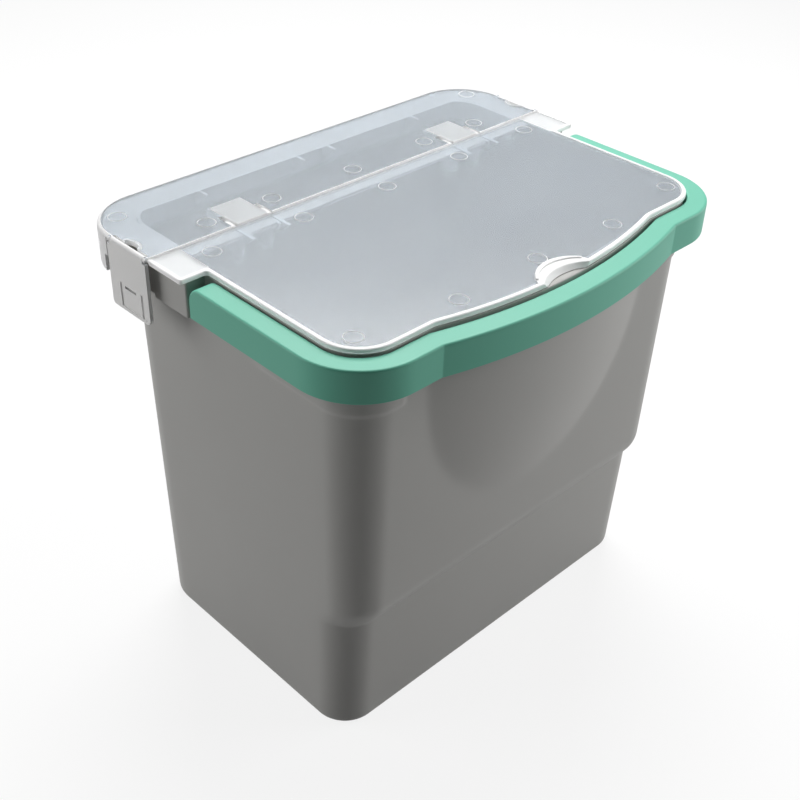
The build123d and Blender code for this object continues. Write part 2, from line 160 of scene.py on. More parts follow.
def rounding(edge, radius, steps):
    """Pairs of how far in and how high for a rounded edge that ends at a height."""
    pairs = []
    for k in range(steps + 1):
        lean = math.radians(90 * k / steps)
        pairs.append((radius * (1 - math.cos(lean)), edge - radius + radius * math.sin(lean)))
    return pairs


def smoothstep(low, high, value):
    """0 below low, 1 above high, with a soft ramp between."""
    share = min(max((value - low) / (high - low), 0.0), 1.0)
    return share * share * (3 - 2 * share)


# %% [markdown]
# Every solid is first drawn in a bmesh, Blender's editable mesh, because there faces can
# be added one by one and edges rounded at once. Three short helpers put the result in
# the scene, close its seams and choose which edges stay crisp.

# %% Mesh helpers
def link_piece(name, mesh):
    """A new object in the scene for a mesh."""
    piece = bpy.data.objects.new(name, mesh)
    bpy.context.scene.collection.objects.link(piece)
    return piece


def finish_mesh(work, name):
    """Turns a bmesh into a mesh with its normals outwards."""
    bmesh.ops.remove_doubles(work, verts=work.verts, dist=1e-7)
    bmesh.ops.recalc_face_normals(work, faces=work.faces)
    mesh = bpy.data.meshes.new(name)
    work.to_mesh(mesh)
    work.free()
    return mesh


def soften(mesh, angle=math.radians(32)):
    """Smooth shading that keeps edges sharper than the angle crisp."""
    mesh.shade_smooth()
    mesh.set_sharp_from_angle(angle=angle)


# %% [markdown]
# Rings of points become a closed skin: neighbouring rings are joined by bands of
# four-sided faces, and the first and last ring are closed with a flat face. Faces made
# this way run along the form, so light glides over them evenly.

# %% Skins over rings of points
def skin(name, rings):
    """A closed mesh over rings of points, each ring as long as the next."""
    work = bmesh.new()
    loops = [[work.verts.new(point) for point in ring] for ring in rings]
    count = len(rings[0])
    for low, high in zip(loops[:-1], loops[1:]):
        for i in range(count):
            j = (i + 1) % count
            work.faces.new((low[i], low[j], high[j], high[i]))
    work.faces.new(list(reversed(loops[0])))
    work.faces.new(loops[-1])
    return finish_mesh(work, name)


def slab(name, plan, profile):
    """A solid whose plan is drawn in by a changing amount from height to height."""
    shape = plan if callable(plan) else (lambda inset: drawn_in(plan, inset))
    return skin(name, [[(p.x, p.y, z) for p in shape(inset)] for inset, z in profile])


# %% [markdown]
# Hinges and latches are put together from boxes, prisms and round rods. Their edges are
# rounded while they are made, so no modifier is left on them.

# %% Boxes, prisms and rods
bevel_style = {"affect": "EDGES", "profile": 0.5}


def box_between(name, low, high, edge=0.0):
    """A box between two corners, its edges rounded a little where asked."""
    work = bmesh.new()
    bmesh.ops.create_cube(work, size=1.0)
    bmesh.ops.scale(work, vec=[b - a for a, b in zip(low, high)], verts=work.verts)
    bmesh.ops.translate(work, vec=[(a + b) / 2 for a, b in zip(low, high)], verts=work.verts)
    if edge > 0:
        bmesh.ops.bevel(work, geom=work.edges[:], offset=edge, segments=3, **bevel_style)
    return finish_mesh(work, name)


def side_prism(name, loop, x_low, x_high, edge=0.0):
    """A profile drawn in Y and Z, made solid between two values of X."""
    work = bmesh.new()
    first = [work.verts.new((x_low, p[0], p[1])) for p in loop]
    second = [work.verts.new((x_high, p[0], p[1])) for p in loop]
    count = len(loop)
    for i in range(count):
        j = (i + 1) % count
        work.faces.new((first[i], first[j], second[j], second[i]))
    faces = [work.faces.new(list(reversed(first))), work.faces.new(second)]
    if edge > 0:
        edges = [e for face in faces for e in face.edges]
        bmesh.ops.bevel(work, geom=edges, offset=edge, segments=2, **bevel_style)
    return finish_mesh(work, name)


def rod(name, centre, radius, length, axis, edge=0.0, segments=40):
    """A round rod along an axis, its two rims rounded a little where asked."""
    work = bmesh.new()
    bmesh.ops.create_cone(
        work, cap_ends=True, segments=segments, radius1=radius, radius2=radius, depth=length
    )
    if edge > 0:
        rims = [e for e in work.edges if abs(e.verts[0].co.z - e.verts[1].co.z) < 1e-6]
        bmesh.ops.bevel(work, geom=rims, offset=edge, segments=2, **bevel_style)
    turn = Vector((0, 0, 1)).rotation_difference(Vector(axis)).to_matrix()
    bmesh.ops.rotate(work, cent=(0, 0, 0), matrix=turn, verts=work.verts)
    bmesh.ops.translate(work, vec=centre, verts=work.verts)
    return finish_mesh(work, name)


def mirrored(mesh):
    """The same mesh on the other side of the middle plane."""
    work = bmesh.new()
    work.from_mesh(mesh)
    bmesh.ops.scale(work, vec=(-1, 1, 1), verts=work.verts)
    bmesh.ops.reverse_faces(work, faces=work.faces)
    return finish_mesh(work, mesh.name + "_other")


# %% [markdown]
# Solids that overlap are joined, or cut from each other, with exact booleans, so a
# moulding ends as one watertight skin. That matters most for the clear plastic, where an
# inner face would show. Modelling every cut by hand would give neater faces, but the cuts
# here are many and small. The helper prints how many edges are left open: none should be.

# %% Joining and cutting
def carve(name, base, added=(), cut=()):
    """Joins solids to a base, then cuts others out of it, as one watertight skin."""
    holder = link_piece(name, base)
    helpers = []
    for operation, meshes in (("UNION", added), ("DIFFERENCE", cut)):
        for mesh in meshes:
            helper = link_piece(mesh.name + "_helper", mesh)
            helpers.append(helper)
            step = holder.modifiers.new(mesh.name, "BOOLEAN")
            step.operation = operation
            step.object = helper
            step.solver = "EXACT"
    graph = bpy.context.evaluated_depsgraph_get()
    result = bpy.data.meshes.new_from_object(holder.evaluated_get(graph))
    result.name = name
    for thing in [holder, *helpers]:
        bpy.data.objects.remove(thing)
    work = bmesh.new()
    work.from_mesh(result)
    bmesh.ops.remove_doubles(work, verts=work.verts, dist=2e-6)
    bmesh.ops.dissolve_degenerate(work, edges=work.edges, dist=1e-6)
    loose = [v for v in work.verts if not v.link_faces]
    bmesh.ops.delete(work, geom=loose, context="VERTS")
    open_edges = sum(1 for e in work.edges if len(e.link_faces) != 2)
    work.to_mesh(result)
    work.free()
    soften(result)
    print(name, len(result.polygons), "faces,", open_edges, "open edges")
    return result


def joined(name, meshes):
    """Several closed skins kept in one mesh."""
    work = bmesh.new()
    for mesh in meshes:
        work.from_mesh(mesh)
    mesh = bpy.data.meshes.new(name)
    work.to_mesh(mesh)
    work.free()
    return mesh


def flat_facets(piece):
    """Keeps wide flat faces flat beside small rounded edges."""
    weigh = piece.modifiers.new("flat_facets", "WEIGHTED_NORMAL")
    weigh.keep_sharp = True
    weigh.weight = 100


# %% [markdown]
# ## The tub
#
# The tub is a tapered box with rounded corners. One function gives its plan at any
# height, as points with outward directions, and everything that belongs to the tub is
# this plan moved in or out: the wall's inside, the step low on the front, the bow high
# on the front and the proud collar under the handle. A plan sampled this way needs no
# booleans, and its faces stay even, which keeps a satin surface free of ripples.

# %% Sizes of the tub
base_half_width = 0.1288
base_front = -0.0763
base_rear = 0.0992
front_corner_base = 0.0207
front_corner_rim = 0.0250
rear_corner_radius = 0.0255
step_low = 0.0820
step_rise = 0.0180
step_hollow = 0.12
step_swell = 0.60
step_depth = 0.0073
wall_break = 0.0768
lower_wall_lean = 0.0026
bow_bottom = tub_height - 0.1346
bow_full_height = tub_height - 0.0256
bow_blend = 0.0006
bow_fall_limit = 1.4
bow_fade_start = bow_half_width + 0.006
bow_fade_end = bow_half_width + 0.016
tub_bow_depth = bow_depth - 0.0010
upper_base_front = base_front - lower_wall_lean - step_depth
print("front wall at the foot and above the step:", base_front, round(upper_base_front, 4))

# %% [markdown]
# The front wall has the most to tell. It leans out a little, steps forward low down with
# a short hollow and a long swell, and carries a bow near the top whose lower end curves
# back like a shell. Each of these is a short formula in height, or in height and width.

# %% Shape of the front wall
def step_share(z):
    """From 0 below the step to 1 above it: a short hollow, a slope and a long swell."""
    at = min(max((z - step_low) / step_rise, 0.0), 1.0)
    slope = 1 / (1 - (step_hollow + step_swell) / 2)
    if at < step_hollow:
        return slope * at**2 / (2 * step_hollow)
    if at < 1 - step_swell:
        return slope * (at - step_hollow / 2)
    return 1 - slope * (1 - at) ** 2 / (2 * step_swell)


def front_line(z):
    """Where the flat part of the front wall lies at a height."""
    lower = base_front - lower_wall_lean * z / wall_break
    rise = (z - wall_break) / (tub_height - wall_break)
    upper = upper_base_front + (rim_front - upper_base_front) * rise
    return lower + (upper - lower) * step_share(z)


def bow_reach(z):
    """Radius of the bow at a height, measured from its upright axis."""
    if z >= bow_full_height:
        return bow_centre - front_line(z) + tub_bow_depth
    top = bow_centre - front_line(bow_full_height) + tub_bow_depth
    low = bow_centre - front_line(bow_bottom)
    drop = bow_full_height - bow_bottom
    profile_radius = (drop**2 + (top - low) ** 2) / (2 * (top - low))
    fall = min(bow_full_height - z, drop * bow_fall_limit)
    return top - (profile_radius - math.sqrt(profile_radius**2 - fall**2))


def front_y(x, z):
    """The front wall at a place, with the bow blended softly into the flat."""
    flat = front_line(z)
    ahead = flat - (bow_centre - math.sqrt(bow_reach(z) ** 2 - x**2))
    push = (ahead + math.sqrt(ahead**2 + bow_blend**2)) / 2
    return flat - push * (1 - smoothstep(bow_fade_start, bow_fade_end, abs(x)))


print("bow from", round(bow_bottom, 4), "to", round(bow_full_height, 4))

# %% [markdown]
# The plan goes round the tub once: four rounded corners and four runs between them. The
# front run has the most points, because the bow's edge has to look smooth there.

# %% Plan of the tub
corner_steps = 16
front_steps = 108
side_steps = 20
rear_steps = 24


def tub_plan(z):
    """Points of the tub's plan at a height, each with its outward direction."""
    share = z / tub_height
    half_width = base_half_width + (rim_half_width - base_half_width) * share
    rear = base_rear + (rim_rear - base_rear) * share
    radius = front_corner_base + (front_corner_rim - front_corner_base) * share
    front = front_line(z)
    plan = []

    def corner(x, y, reach, start):
        for k in range(corner_steps + 1):
            angle = math.radians(start + 90 * k / corner_steps)
            out = (math.cos(angle), math.sin(angle))
            plan.append((x + reach * out[0], y + reach * out[1], out))

    def run(first, last, out, steps):
        for k in range(1, steps):
            part = k / steps
            x = first[0] + (last[0] - first[0]) * part
            y = first[1] + (last[1] - first[1]) * part
            plan.append((x, front_y(x, z) if out[1] < 0 else y, out))

    side = half_width - radius
    rear_side = half_width - rear_corner_radius
    low_y = front + radius
    high_y = rear - rear_corner_radius
    corner(-side, low_y, radius, 180)
    run((-side, front), (side, front), (0.0, -1.0), front_steps)
    corner(side, low_y, radius, 270)
    run((half_width, low_y), (half_width, high_y), (1.0, 0.0), side_steps)
    corner(rear_side, high_y, rear_corner_radius, 0)
    run((rear_side, rear), (-rear_side, rear), (0.0, 1.0), rear_steps)
    corner(-rear_side, high_y, rear_corner_radius, 90)
    run((-half_width, high_y), (-half_width, low_y), (-1.0, 0.0), side_steps)
    return plan


print("points in one ring of the tub:", len(tub_plan(0.1)))

# %% [markdown]
# The tub's skin is one closed surface: it starts on the flat underside, turns round the
# soft foot, climbs the outside, rolls over the thin rim and runs down the inside to the
# floor. Rings are close together only where the shape changes: at the foot, the step,
# the lower edge of the bow and the collar.

# %% Skin of the tub
floor_thickness = 0.0024
base_edge_radius = 0.0050
base_edge_steps = 6
rim_edge_radius = 0.0007
collar_reach = 0.0012
collar_bottom = 0.2300
collar_top = handle_low.z - 0.0004
collar_edge = 0.0001
collar_soft = 0.0022
collar_rear_end = -0.0150
collar_inner_end = 0.1010


def collar_push(x, y, z):
    """How far the collar stands proud of the wall at a place."""
    if z > collar_top or y > collar_rear_end or abs(x) < collar_inner_end:
        return 0.0
    return collar_reach * smoothstep(collar_bottom - collar_soft, collar_bottom + collar_soft, z)


def tub_ring(z, inset, proud=False):
    """One ring of the skin at a height, drawn in from the outer face by the inset."""
    ring = []
    for x, y, out in tub_plan(z):
        push = (collar_push(x, y, z) if proud else 0.0) - inset
        ring.append((x + out[0] * push, y + out[1] * push, z))
    return ring


def tub_heights():
    """Heights of the rings: the lower wall, the step, the bow, the collar, the rim."""
    found = [0.012, 0.022, 0.035, 0.050, 0.062, 0.072]
    found += [step_low - 0.001 + 0.001 * k for k in range(21)]
    found += [0.106, 0.112, 0.118]
    found += [0.124 + 0.0025 * k for k in range(41)]
    found += [0.2272 + 0.0007 * k for k in range(9)]
    found += [0.236, 0.240, 0.2435, collar_top - collar_edge, collar_top + collar_edge]
    found += [0.2500, 0.2540, 0.2580, 0.2615]
    return found


def tub_skin():
    """The closed skin of the tub."""
    rings = []
    for inset, z in reversed(rounding(0.0, base_edge_radius, base_edge_steps)):
        rings.append(tub_ring(-z, inset))
    rings += [tub_ring(z, 0.0, True) for z in tub_heights()]
    lip = rounding(tub_height, rim_edge_radius, 3)
    rings += [tub_ring(z, inset) for inset, z in lip]
    rings += [tub_ring(z, wall - inset) for inset, z in reversed(lip)]
    rings += [tub_ring(z, wall) for z in reversed(tub_heights())]
    for inset, z in rounding(0.0, base_edge_radius, base_edge_steps):
        rings.append(tub_ring(floor_thickness - z, wall + inset))
    return skin("tub_skin", rings)


tub_mesh = tub_skin()
soften(tub_mesh)
print("tub skin:", len(tub_mesh.vertices), "points")

# %% [markdown]
# Round the sides and the rear, the rim turns outwards into a hollow band that is open
# below. It stops behind the ends of the handle, where it is closed by a flat wall, and in
# front of each latch it stands a little further out. The band is a skin over rings as
# well: down the inside of its hollow, round the lower edge and up the outside to the
# rounded top. Its plan has corners of its own, so it is drawn anew for every ring.

# %% Rim band
band_half_width = tub_high.x
band_front = 0.0220
band_rear = tub_high.y
band_bottom = 0.2435
band_corner_radius = 0.0300
band_skin = 0.0020
band_edge = 0.0009
band_soft = 0.0011
band_root = 0.0012
block_reach = 0.0018
block_rear = latch_low.y + 0.0025
block_soft = 0.0004


def band_plan(inset, root, front):
    """The band's plan: outer line drawn in by the inset, inner line at the tub's wall."""
    x = band_half_width - inset
    y = band_rear - inset
    start = band_front + front
    inner_x = rim_half_width - root
    inner_y = rim_rear - root
    corner = band_corner_radius - inset
    inner_corner = rear_corner_radius - root
    block_x = x + block_reach
    block_y = block_rear - inset
    return rounded_loop(
        [
            (block_x, start, band_soft),
            (block_x, block_y, block_soft),
            (x, block_y, block_soft),
            (x, y, corner),
            (-x, y, corner),
            (-x, block_y, block_soft),
            (-block_x, block_y, block_soft),
            (-block_x, start, band_soft),
            (-inner_x, start, 0),
            (-inner_x, inner_y, inner_corner),
            (inner_x, inner_y, inner_corner),
            (inner_x, start, 0),
        ]
    )


def band_rings():
    """Rings of the band from the roof of its hollow round to its top."""
    # Each row: outer line in by, inner line inside the wall by, front wall in by, height.
    rows = [
        (band_skin, 0.0008, band_skin, tub_height - band_skin),
        (band_skin, 0.0008, band_skin, band_bottom + 0.0004),
        (band_skin - 0.0004, 0.0010, band_skin - 0.0004, band_bottom),
        (0.0005, band_root, 0.0005, band_bottom),
        (0.0001, band_root, 0.0001, band_bottom + 0.0003),
        (0.0, band_root, 0.0, band_bottom + 0.0007),
    ]
    rows += [(inset, band_root, inset, z) for inset, z in rounding(tub_height, band_edge, 4)]
    return [[(p.x, p.y, z) for p in band_plan(*row)] for *row, z in rows]


band_mesh = skin("rim_band", band_rings())
soften(band_mesh)
print("band:", len(band_mesh.polygons), "faces")

# %% [markdown]
# Inside the bow a narrow shelf carries the front edge of the flap. It is a lens between
# two arcs. A round stub on each side of the tub goes into the handle's end. The shelf and
# the stubs end inside the wall and leave it whole, so each stays a closed skin of its own.

# %% Shelf and stubs
shelf_apex = -0.0945
shelf_half_width = 0.0780
shelf_thickness = 0.0025
shelf_soft = (0.0002, 0.0003)
shelf_steps = 48
pivot_y = 0.0080
pivot_z = 0.2560
stub_radius = 0.0040
stub_end = 0.1430
stub_edge = 0.0004


def shelf_plan():
    """The lens-shaped shelf inside the bow."""
    outer_radius = bow_radius - (bow_depth - tub_bow_depth) - wall / 2
    depth = rim_front + wall - shelf_apex
    inner_radius = (shelf_half_width**2 + depth**2) / (2 * depth)
    loop = []
    for k in range(shelf_steps + 1):
        x = shelf_half_width * (2 * k / shelf_steps - 1)
        loop.append(Vector((x, bow_centre - math.sqrt(outer_radius**2 - x * x))))
    for k in range(shelf_steps + 1):
        x = shelf_half_width * (1 - 2 * k / shelf_steps)
        y = shelf_apex + inner_radius - math.sqrt(inner_radius**2 - x * x)
        loop.append(Vector((x, y + wall / 10)))
    return loop


shelf_heights = [(0.0, tub_height - shelf_thickness), (0.0, tub_height - shelf_soft[1])]
shelf_heights.append((shelf_soft[0], tub_height))
shelf_mesh = slab("rim_shelf", shelf_plan(), shelf_heights)
stub_length = stub_end - rim_half_width + wall / 2
stub_centre = (stub_end - stub_length / 2, pivot_y, pivot_z)
stub_mesh = rod("stub", stub_centre, stub_radius, stub_length, (1, 0, 0), stub_edge)
for mesh in (shelf_mesh, stub_mesh):
    soften(mesh)
tub_fittings = joined("tub_fittings", [shelf_mesh, stub_mesh, mirrored(stub_mesh)])
print("stubs reach", stub_end)

# %% [markdown]
# ## The handle
#
# The handle lies round the front of the rim. Seen from above it is a strip between an
# outer and an inner line, both with round corners and a bow that meets the straight part
# at a crisp crease. A section swept along that strip gives its soft upper edges, and the
# section is a channel, open below, as thick mouldings like this are.

# %% Lines of the handle
handle_gap = 0.0010
handle_reach = handle_high.x - rim_half_width
handle_outer_corner = 0.0380
handle_inner_corner = 0.0240
handle_end = handle_high.y
handle_end_radius = 0.0070
handle_hub_front = -0.0060
handle_hub_gap = 0.0001
handle_top = handle_high.z
handle_bottom = handle_low.z
handle_wall = 0.0022
handle_edge = 0.0013
handle_inner_edge = 0.0007


def handle_side(reach, corner):
    """The right half of one long side of the handle, from its end to the middle."""
    x = rim_half_width + reach
    front = rim_front - reach
    radius = bow_radius + reach
    crease = math.sqrt(radius**2 - (bow_centre - front) ** 2)
    bend_start = front + corner
    half = []
    straight_top = handle_hub_front - handle_hub_gap
    for k in range(12):
        half.append(Vector((x, straight_top + (bend_start - straight_top) * k / 12)))
    for k in range(19):
        angle = math.radians(-90 * k / 18)
        half.append(
            Vector((x - corner + corner * math.cos(angle), bend_start + corner * math.sin(angle)))
        )
    bend_end = x - corner
    for k in (0.35, 0.7, 0.97):
        half.append(Vector((bend_end + (crease - bend_end) * k, front)))
    for k in (0.0, 0.006, *[k / 30 for k in range(1, 31)]):
        at = crease * (1 - k)
        half.append(Vector((at, bow_centre - math.sqrt(radius**2 - at * at))))
    return half


outer_half = handle_side(handle_reach, handle_outer_corner)
inner_half = handle_side(handle_gap, handle_inner_corner)
print("stations on half the handle:", len(outer_half))

# %% [markdown]
# A sweep in Blender is usually a curve with a bevel object, but the handle's section
# changes where the channel begins and where the ends round off. So the section is drawn
# anew at each station between the two lines, and the skin helper joins the stations.

# %% Section of the handle swept along its lines
section_edge_steps = 4
section_soft = 0.0005
section_flat = 0.0006
end_steps = 8
hub_steps = 5


def handle_section(outer, inner, top, hollow):
    """One closed section between the two lines, as points on the way round it."""
    width = (inner - outer).length
    across = (inner - outer).normalized()
    soft = section_soft
    flat = section_flat
    low = handle_bottom
    around = [(soft, low), (0.0, low + soft), (0.0, top - handle_edge - flat)]
    around += rounding(top, handle_edge, section_edge_steps)
    around += [(handle_edge + flat, top), (width - handle_inner_edge - flat, top)]
    inner_edge = rounding(top, handle_inner_edge, section_edge_steps)
    around += [(width - inset, z) for inset, z in reversed(inner_edge)]
    around += [(width, top - handle_inner_edge - flat), (width, low + soft), (width - soft, low)]
    roof = top - handle_wall if hollow else low
    around += [(width - handle_wall, low), (width - handle_wall, roof)]
    around += [(handle_wall, roof), (handle_wall, low)]
    points = []
    for along, z in around:
        place = outer + across * along
        points.append((place.x, place.y, z))
    return points


def handle_skin():
    """The swept handle, with its rounded rear ends."""
    outer_x = rim_half_width + handle_reach
    inner_x = rim_half_width + handle_gap
    half = []
    for k in range(end_steps + 1):
        lean = math.radians(90 * k / end_steps)
        y = handle_end - handle_end_radius * (1 - math.cos(lean))
        top = handle_top - handle_end_radius * (1 - math.sin(lean))
        half.append((Vector((outer_x, y)), Vector((inner_x, y)), top, False))
    for k in range(1, hub_steps + 1):
        y = handle_end - handle_end_radius
        y += (handle_hub_front - y) * k / hub_steps
        half.append((Vector((outer_x, y)), Vector((inner_x, y)), handle_top, False))
    for outer, inner in zip(outer_half, inner_half):
        half.append((outer, inner, handle_top, True))
    other = [
        (Vector((-a.x, a.y)), Vector((-b.x, b.y)), top, hollow)
        for a, b, top, hollow in reversed(half[:-1])
    ]
    return skin("handle_skin", [handle_section(*row) for row in half + other])


bore_radius = stub_radius + hair
bore_depth = stub_end + 0.0005 - rim_half_width
bore_centre = (rim_half_width + bore_depth / 2, pivot_y, pivot_z)
bore = rod("bore", bore_centre, bore_radius, bore_depth, (1, 0, 0))
handle_mesh = carve("handle_mesh", handle_skin(), cut=[bore, mirrored(bore)])

# %% [markdown]
# Inside the channel, thin ribs cross the bow. They follow an arc at an even pitch, which
# is what Geometry Nodes do well: an arc is resampled, a small plate is placed on each
# point, turned to the arc, and the copies are made real. Three short helpers make a node,
# an empty tree with named inputs, and the links between nodes.

# %% Node helpers
def node(tree, kind, **values):
    """A node of a tree with some of its inputs set."""
    made = tree.nodes.new(kind)
    for name, value in values.items():
        made.inputs[name.replace("_", " ")].default_value = value
    return made


def geometry_tree(name, output, **inputs):
    """A tree with named inputs and one output, and its two end nodes."""
    tree = bpy.data.node_groups.new(name, "GeometryNodeTree")
    new_socket = tree.interface.new_socket
    for entry, kind in inputs.items():
        label = entry.replace("_", " ")
        new_socket(name=label, in_out="INPUT", socket_type="NodeSocket" + kind)
    new_socket(name=output, in_out="OUTPUT", socket_type="NodeSocketGeometry")
    return tree, tree.nodes.new("NodeGroupInput"), tree.nodes.new("NodeGroupOutput")


def wire(tree, *joins):
    """Links, each given as a node, its output, the next node and its input."""
    for source, output, target, entry in joins:
        tree.links.new(source.outputs[output], target.inputs[entry])


# %% [markdown]
# The tree for the ribs takes a line, a count, the size of one plate and a finish. Its end
# is always the same: Realize Instances, because copies would be lost in the export, and
# Set Material.

# %% Ribs in the handle
rib_count = 7
rib_pitch = 0.0280
rib_thickness = 0.0016
rib_height = handle_top - handle_bottom - 2 * handle_wall + 0.0006
rib_width = handle_reach - handle_gap - 2 * handle_wall + 0.0008
rib_radius = bow_radius + (handle_reach + handle_gap) / 2


def ribs_tree():
    """Plates on the points of a line, each turned to face along it."""
    tree, start, end = geometry_tree(
        "ribs_along_a_line",
        "Ribs",
        Line="Geometry",
        Count="Int",
        Size="Vector",
        Finish="Material",
    )
    curve = node(tree, "GeometryNodeMeshToCurve")
    even = node(tree, "GeometryNodeResampleCurve")
    cube = node(tree, "GeometryNodeMeshCube")
    along = node(tree, "GeometryNodeInputTangent")
    align = node(tree, "FunctionNodeAlignRotationToVector")
    align.axis = "X"
    align.pivot_axis = "Z"
    place = node(tree, "GeometryNodeInstanceOnPoints")
    real = node(tree, "GeometryNodeRealizeInstances")
    paint = node(tree, "GeometryNodeSetMaterial")
    wire(
        tree,
        (start, "Line", curve, "Mesh"),
        (curve, "Curve", even, "Curve"),
        (start, "Count", even, "Count"),
        (start, "Size", cube, "Size"),
        (even, "Curve", place, "Points"),
        (cube, "Mesh", place, "Instance"),
        (along, "Tangent", align, "Vector"),
        (align, "Rotation", place, "Rotation"),
        (place, "Instances", real, "Geometry"),
        (real, "Geometry", paint, "Geometry"),
        (start, "Finish", paint, "Material"),
        (paint, "Geometry", end, "Ribs"),
    )
    return tree


print("one rib is", round(rib_width, 4), "wide and", round(rib_height, 4), "high")

# %% [markdown]
# A tree works on an object, through a modifier. Its inputs are set by their identifiers
# before Blender evaluates the object for the first time. Then the result is taken as a
# plain mesh, and the object with its modifier goes away.

# %% Grow the ribs
def grown(name, base, tree, values):
    """The plain mesh that a tree grows on a base mesh with the values given."""
    holder = link_piece(name + "_base", base)
    step = holder.modifiers.new(name, "NODES")
    step.node_group = tree
    for socket in tree.interface.items_tree:
        if socket.item_type == "SOCKET" and socket.name in values:
            step[socket.identifier] = values[socket.name]
    graph = bpy.context.evaluated_depsgraph_get()
    mesh = bpy.data.meshes.new_from_object(holder.evaluated_get(graph))
    mesh.name = name
    bpy.data.objects.remove(holder)
    work = bmesh.new()
    work.from_mesh(mesh)
    bmesh.ops.remove_doubles(work, verts=work.verts, dist=1e-7)
    bmesh.ops.recalc_face_normals(work, faces=work.faces)
    work.to_mesh(mesh)
    work.free()
    print(name, len(mesh.polygons), "faces")
    return mesh


def line_mesh(name, points):
    """A mesh of edges through points."""
    mesh = bpy.data.meshes.new(name)
    mesh.from_pydata(points, [(k, k + 1) for k in range(len(points) - 1)], [])
    return mesh


def rib_line():
    """The arc that the handle's ribs stand on."""
    spread = rib_pitch * (rib_count - 1) / rib_radius
    z = (handle_top + handle_bottom) / 2
    steps = 48
    points = []
    for k in range(steps + 1):
        angle = spread * (k / steps - 0.5)
        points.append((rib_radius * math.sin(angle), bow_centre - rib_radius * math.cos(angle), z))
    return points


print("ribs spread over", round(rib_pitch * (rib_count - 1), 3))

# %% [markdown]
# ## Finishes
#
# All the plastics come out of a mould whose steel was spark-eroded, which leaves an
# even, very fine grain. One shader node group makes that grain and a slow variation in
# gloss from Object coordinates. Each material takes the group with its own strength and
# sends its values to Roughness and, through Bump, to Normal. A picture of grain would do
# too, but it would need unwrapped surfaces and would repeat.

# %% Grain shared by the plastics
grain_size = 1800.0
cloud_size = 22.0


def grain_group():
    """Fine mould grain and slow variation, as values between 0 and 1."""
    group = bpy.data.node_groups.new("mould_grain", "ShaderNodeTree")
    face = group.interface
    for name, value in (("Grain Size", grain_size), ("Cloud Size", cloud_size)):
        socket = face.new_socket(name=name, in_out="INPUT", socket_type="NodeSocketFloat")
        socket.default_value = value
    for name in ("Grain", "Clouds"):
        face.new_socket(name=name, in_out="OUTPUT", socket_type="NodeSocketFloat")
    start = group.nodes.new("NodeGroupInput")
    end = group.nodes.new("NodeGroupOutput")
    place = group.nodes.new("ShaderNodeTexCoord")
    fine = node(group, "ShaderNodeTexNoise", Detail=3.0, Roughness=0.55)
    slow = node(group, "ShaderNodeTexNoise", Detail=2.0, Roughness=0.5)
    for noise, size, name in ((fine, "Grain Size", "Grain"), (slow, "Cloud Size", "Clouds")):
        wire(
            group,
            (place, "Object", noise, "Vector"),
            (start, size, noise, "Scale"),
            (noise, "Fac", end, name),
        )
    return group


mould_grain = grain_group()


def map_range(tree, source, low, high):
    """A node that spreads a value of 0 to 1 between two others."""
    spread = node(tree, "ShaderNodeMapRange", To_Min=low, To_Max=high)
    tree.links.new(source, spread.inputs["Value"])
    return spread


def colour_mix(tree, first, second):
    """A Mix node between two colours, and the socket that gives the mixed colour."""
    mix = tree.nodes.new("ShaderNodeMix")
    mix.data_type = "RGBA"
    tones = [socket for socket in mix.inputs if socket.type == "RGBA"]
    for socket, colour in zip(tones, (first, second)):
        socket.default_value = (*colour, 1.0)
    return mix, next(socket for socket in mix.outputs if socket.type == "RGBA")


print("grain group sockets:", [item.name for item in mould_grain.interface.items_tree])

# %% [markdown]
# A moulded plastic is one Principled shader. Its colour drifts very slowly between two
# close tones, its gloss drifts with it, and the grain lifts the normal a little. The tub
# and the handle need nothing more: both are opaque and satin.

# %% Opaque plastics
cloud_low = 0.1
cloud_high = 0.9
grain_depth = 0.00008
plastic_specular = 0.45
opaque_spread = 0.05


def plastic(name, colour, deep_colour, roughness, bump, spread=opaque_spread):
    """A moulded plastic: two close colours in slow clouds, fine grain and soft gloss."""
    material = bpy.data.materials.new(name)
    material.use_nodes = True
    tree = material.node_tree
    shader = tree.nodes["Principled BSDF"]
    effect = tree.nodes.new("ShaderNodeGroup")
    effect.node_tree = mould_grain
    effect.inputs["Grain Size"].default_value = grain_size
    effect.inputs["Cloud Size"].default_value = cloud_size
    blend, mixed = colour_mix(tree, deep_colour, colour)
    clouds = effect.outputs["Clouds"]
    share = map_range(tree, clouds, cloud_low, cloud_high)
    gloss = map_range(tree, clouds, roughness - spread, roughness + spread)
    relief = node(tree, "ShaderNodeBump", Strength=bump, Distance=grain_depth)
    wire(
        tree,
        (share, "Result", blend, "Factor"),
        (gloss, "Result", shader, "Roughness"),
        (effect, "Grain", relief, "Height"),
        (relief, "Normal", shader, "Normal"),
    )
    tree.links.new(mixed, shader.inputs["Base Color"])
    shader.inputs["Specular IOR Level"].default_value = plastic_specular
    return material, shader


tub_grey, _ = plastic("tub_grey", (0.430, 0.426, 0.410), (0.412, 0.408, 0.392), 0.48, 0.25)
handle_green, _ = plastic("handle_green", (0.145, 0.515, 0.375), (0.135, 0.490, 0.358), 0.50, 0.30)
print("opaque finishes made")
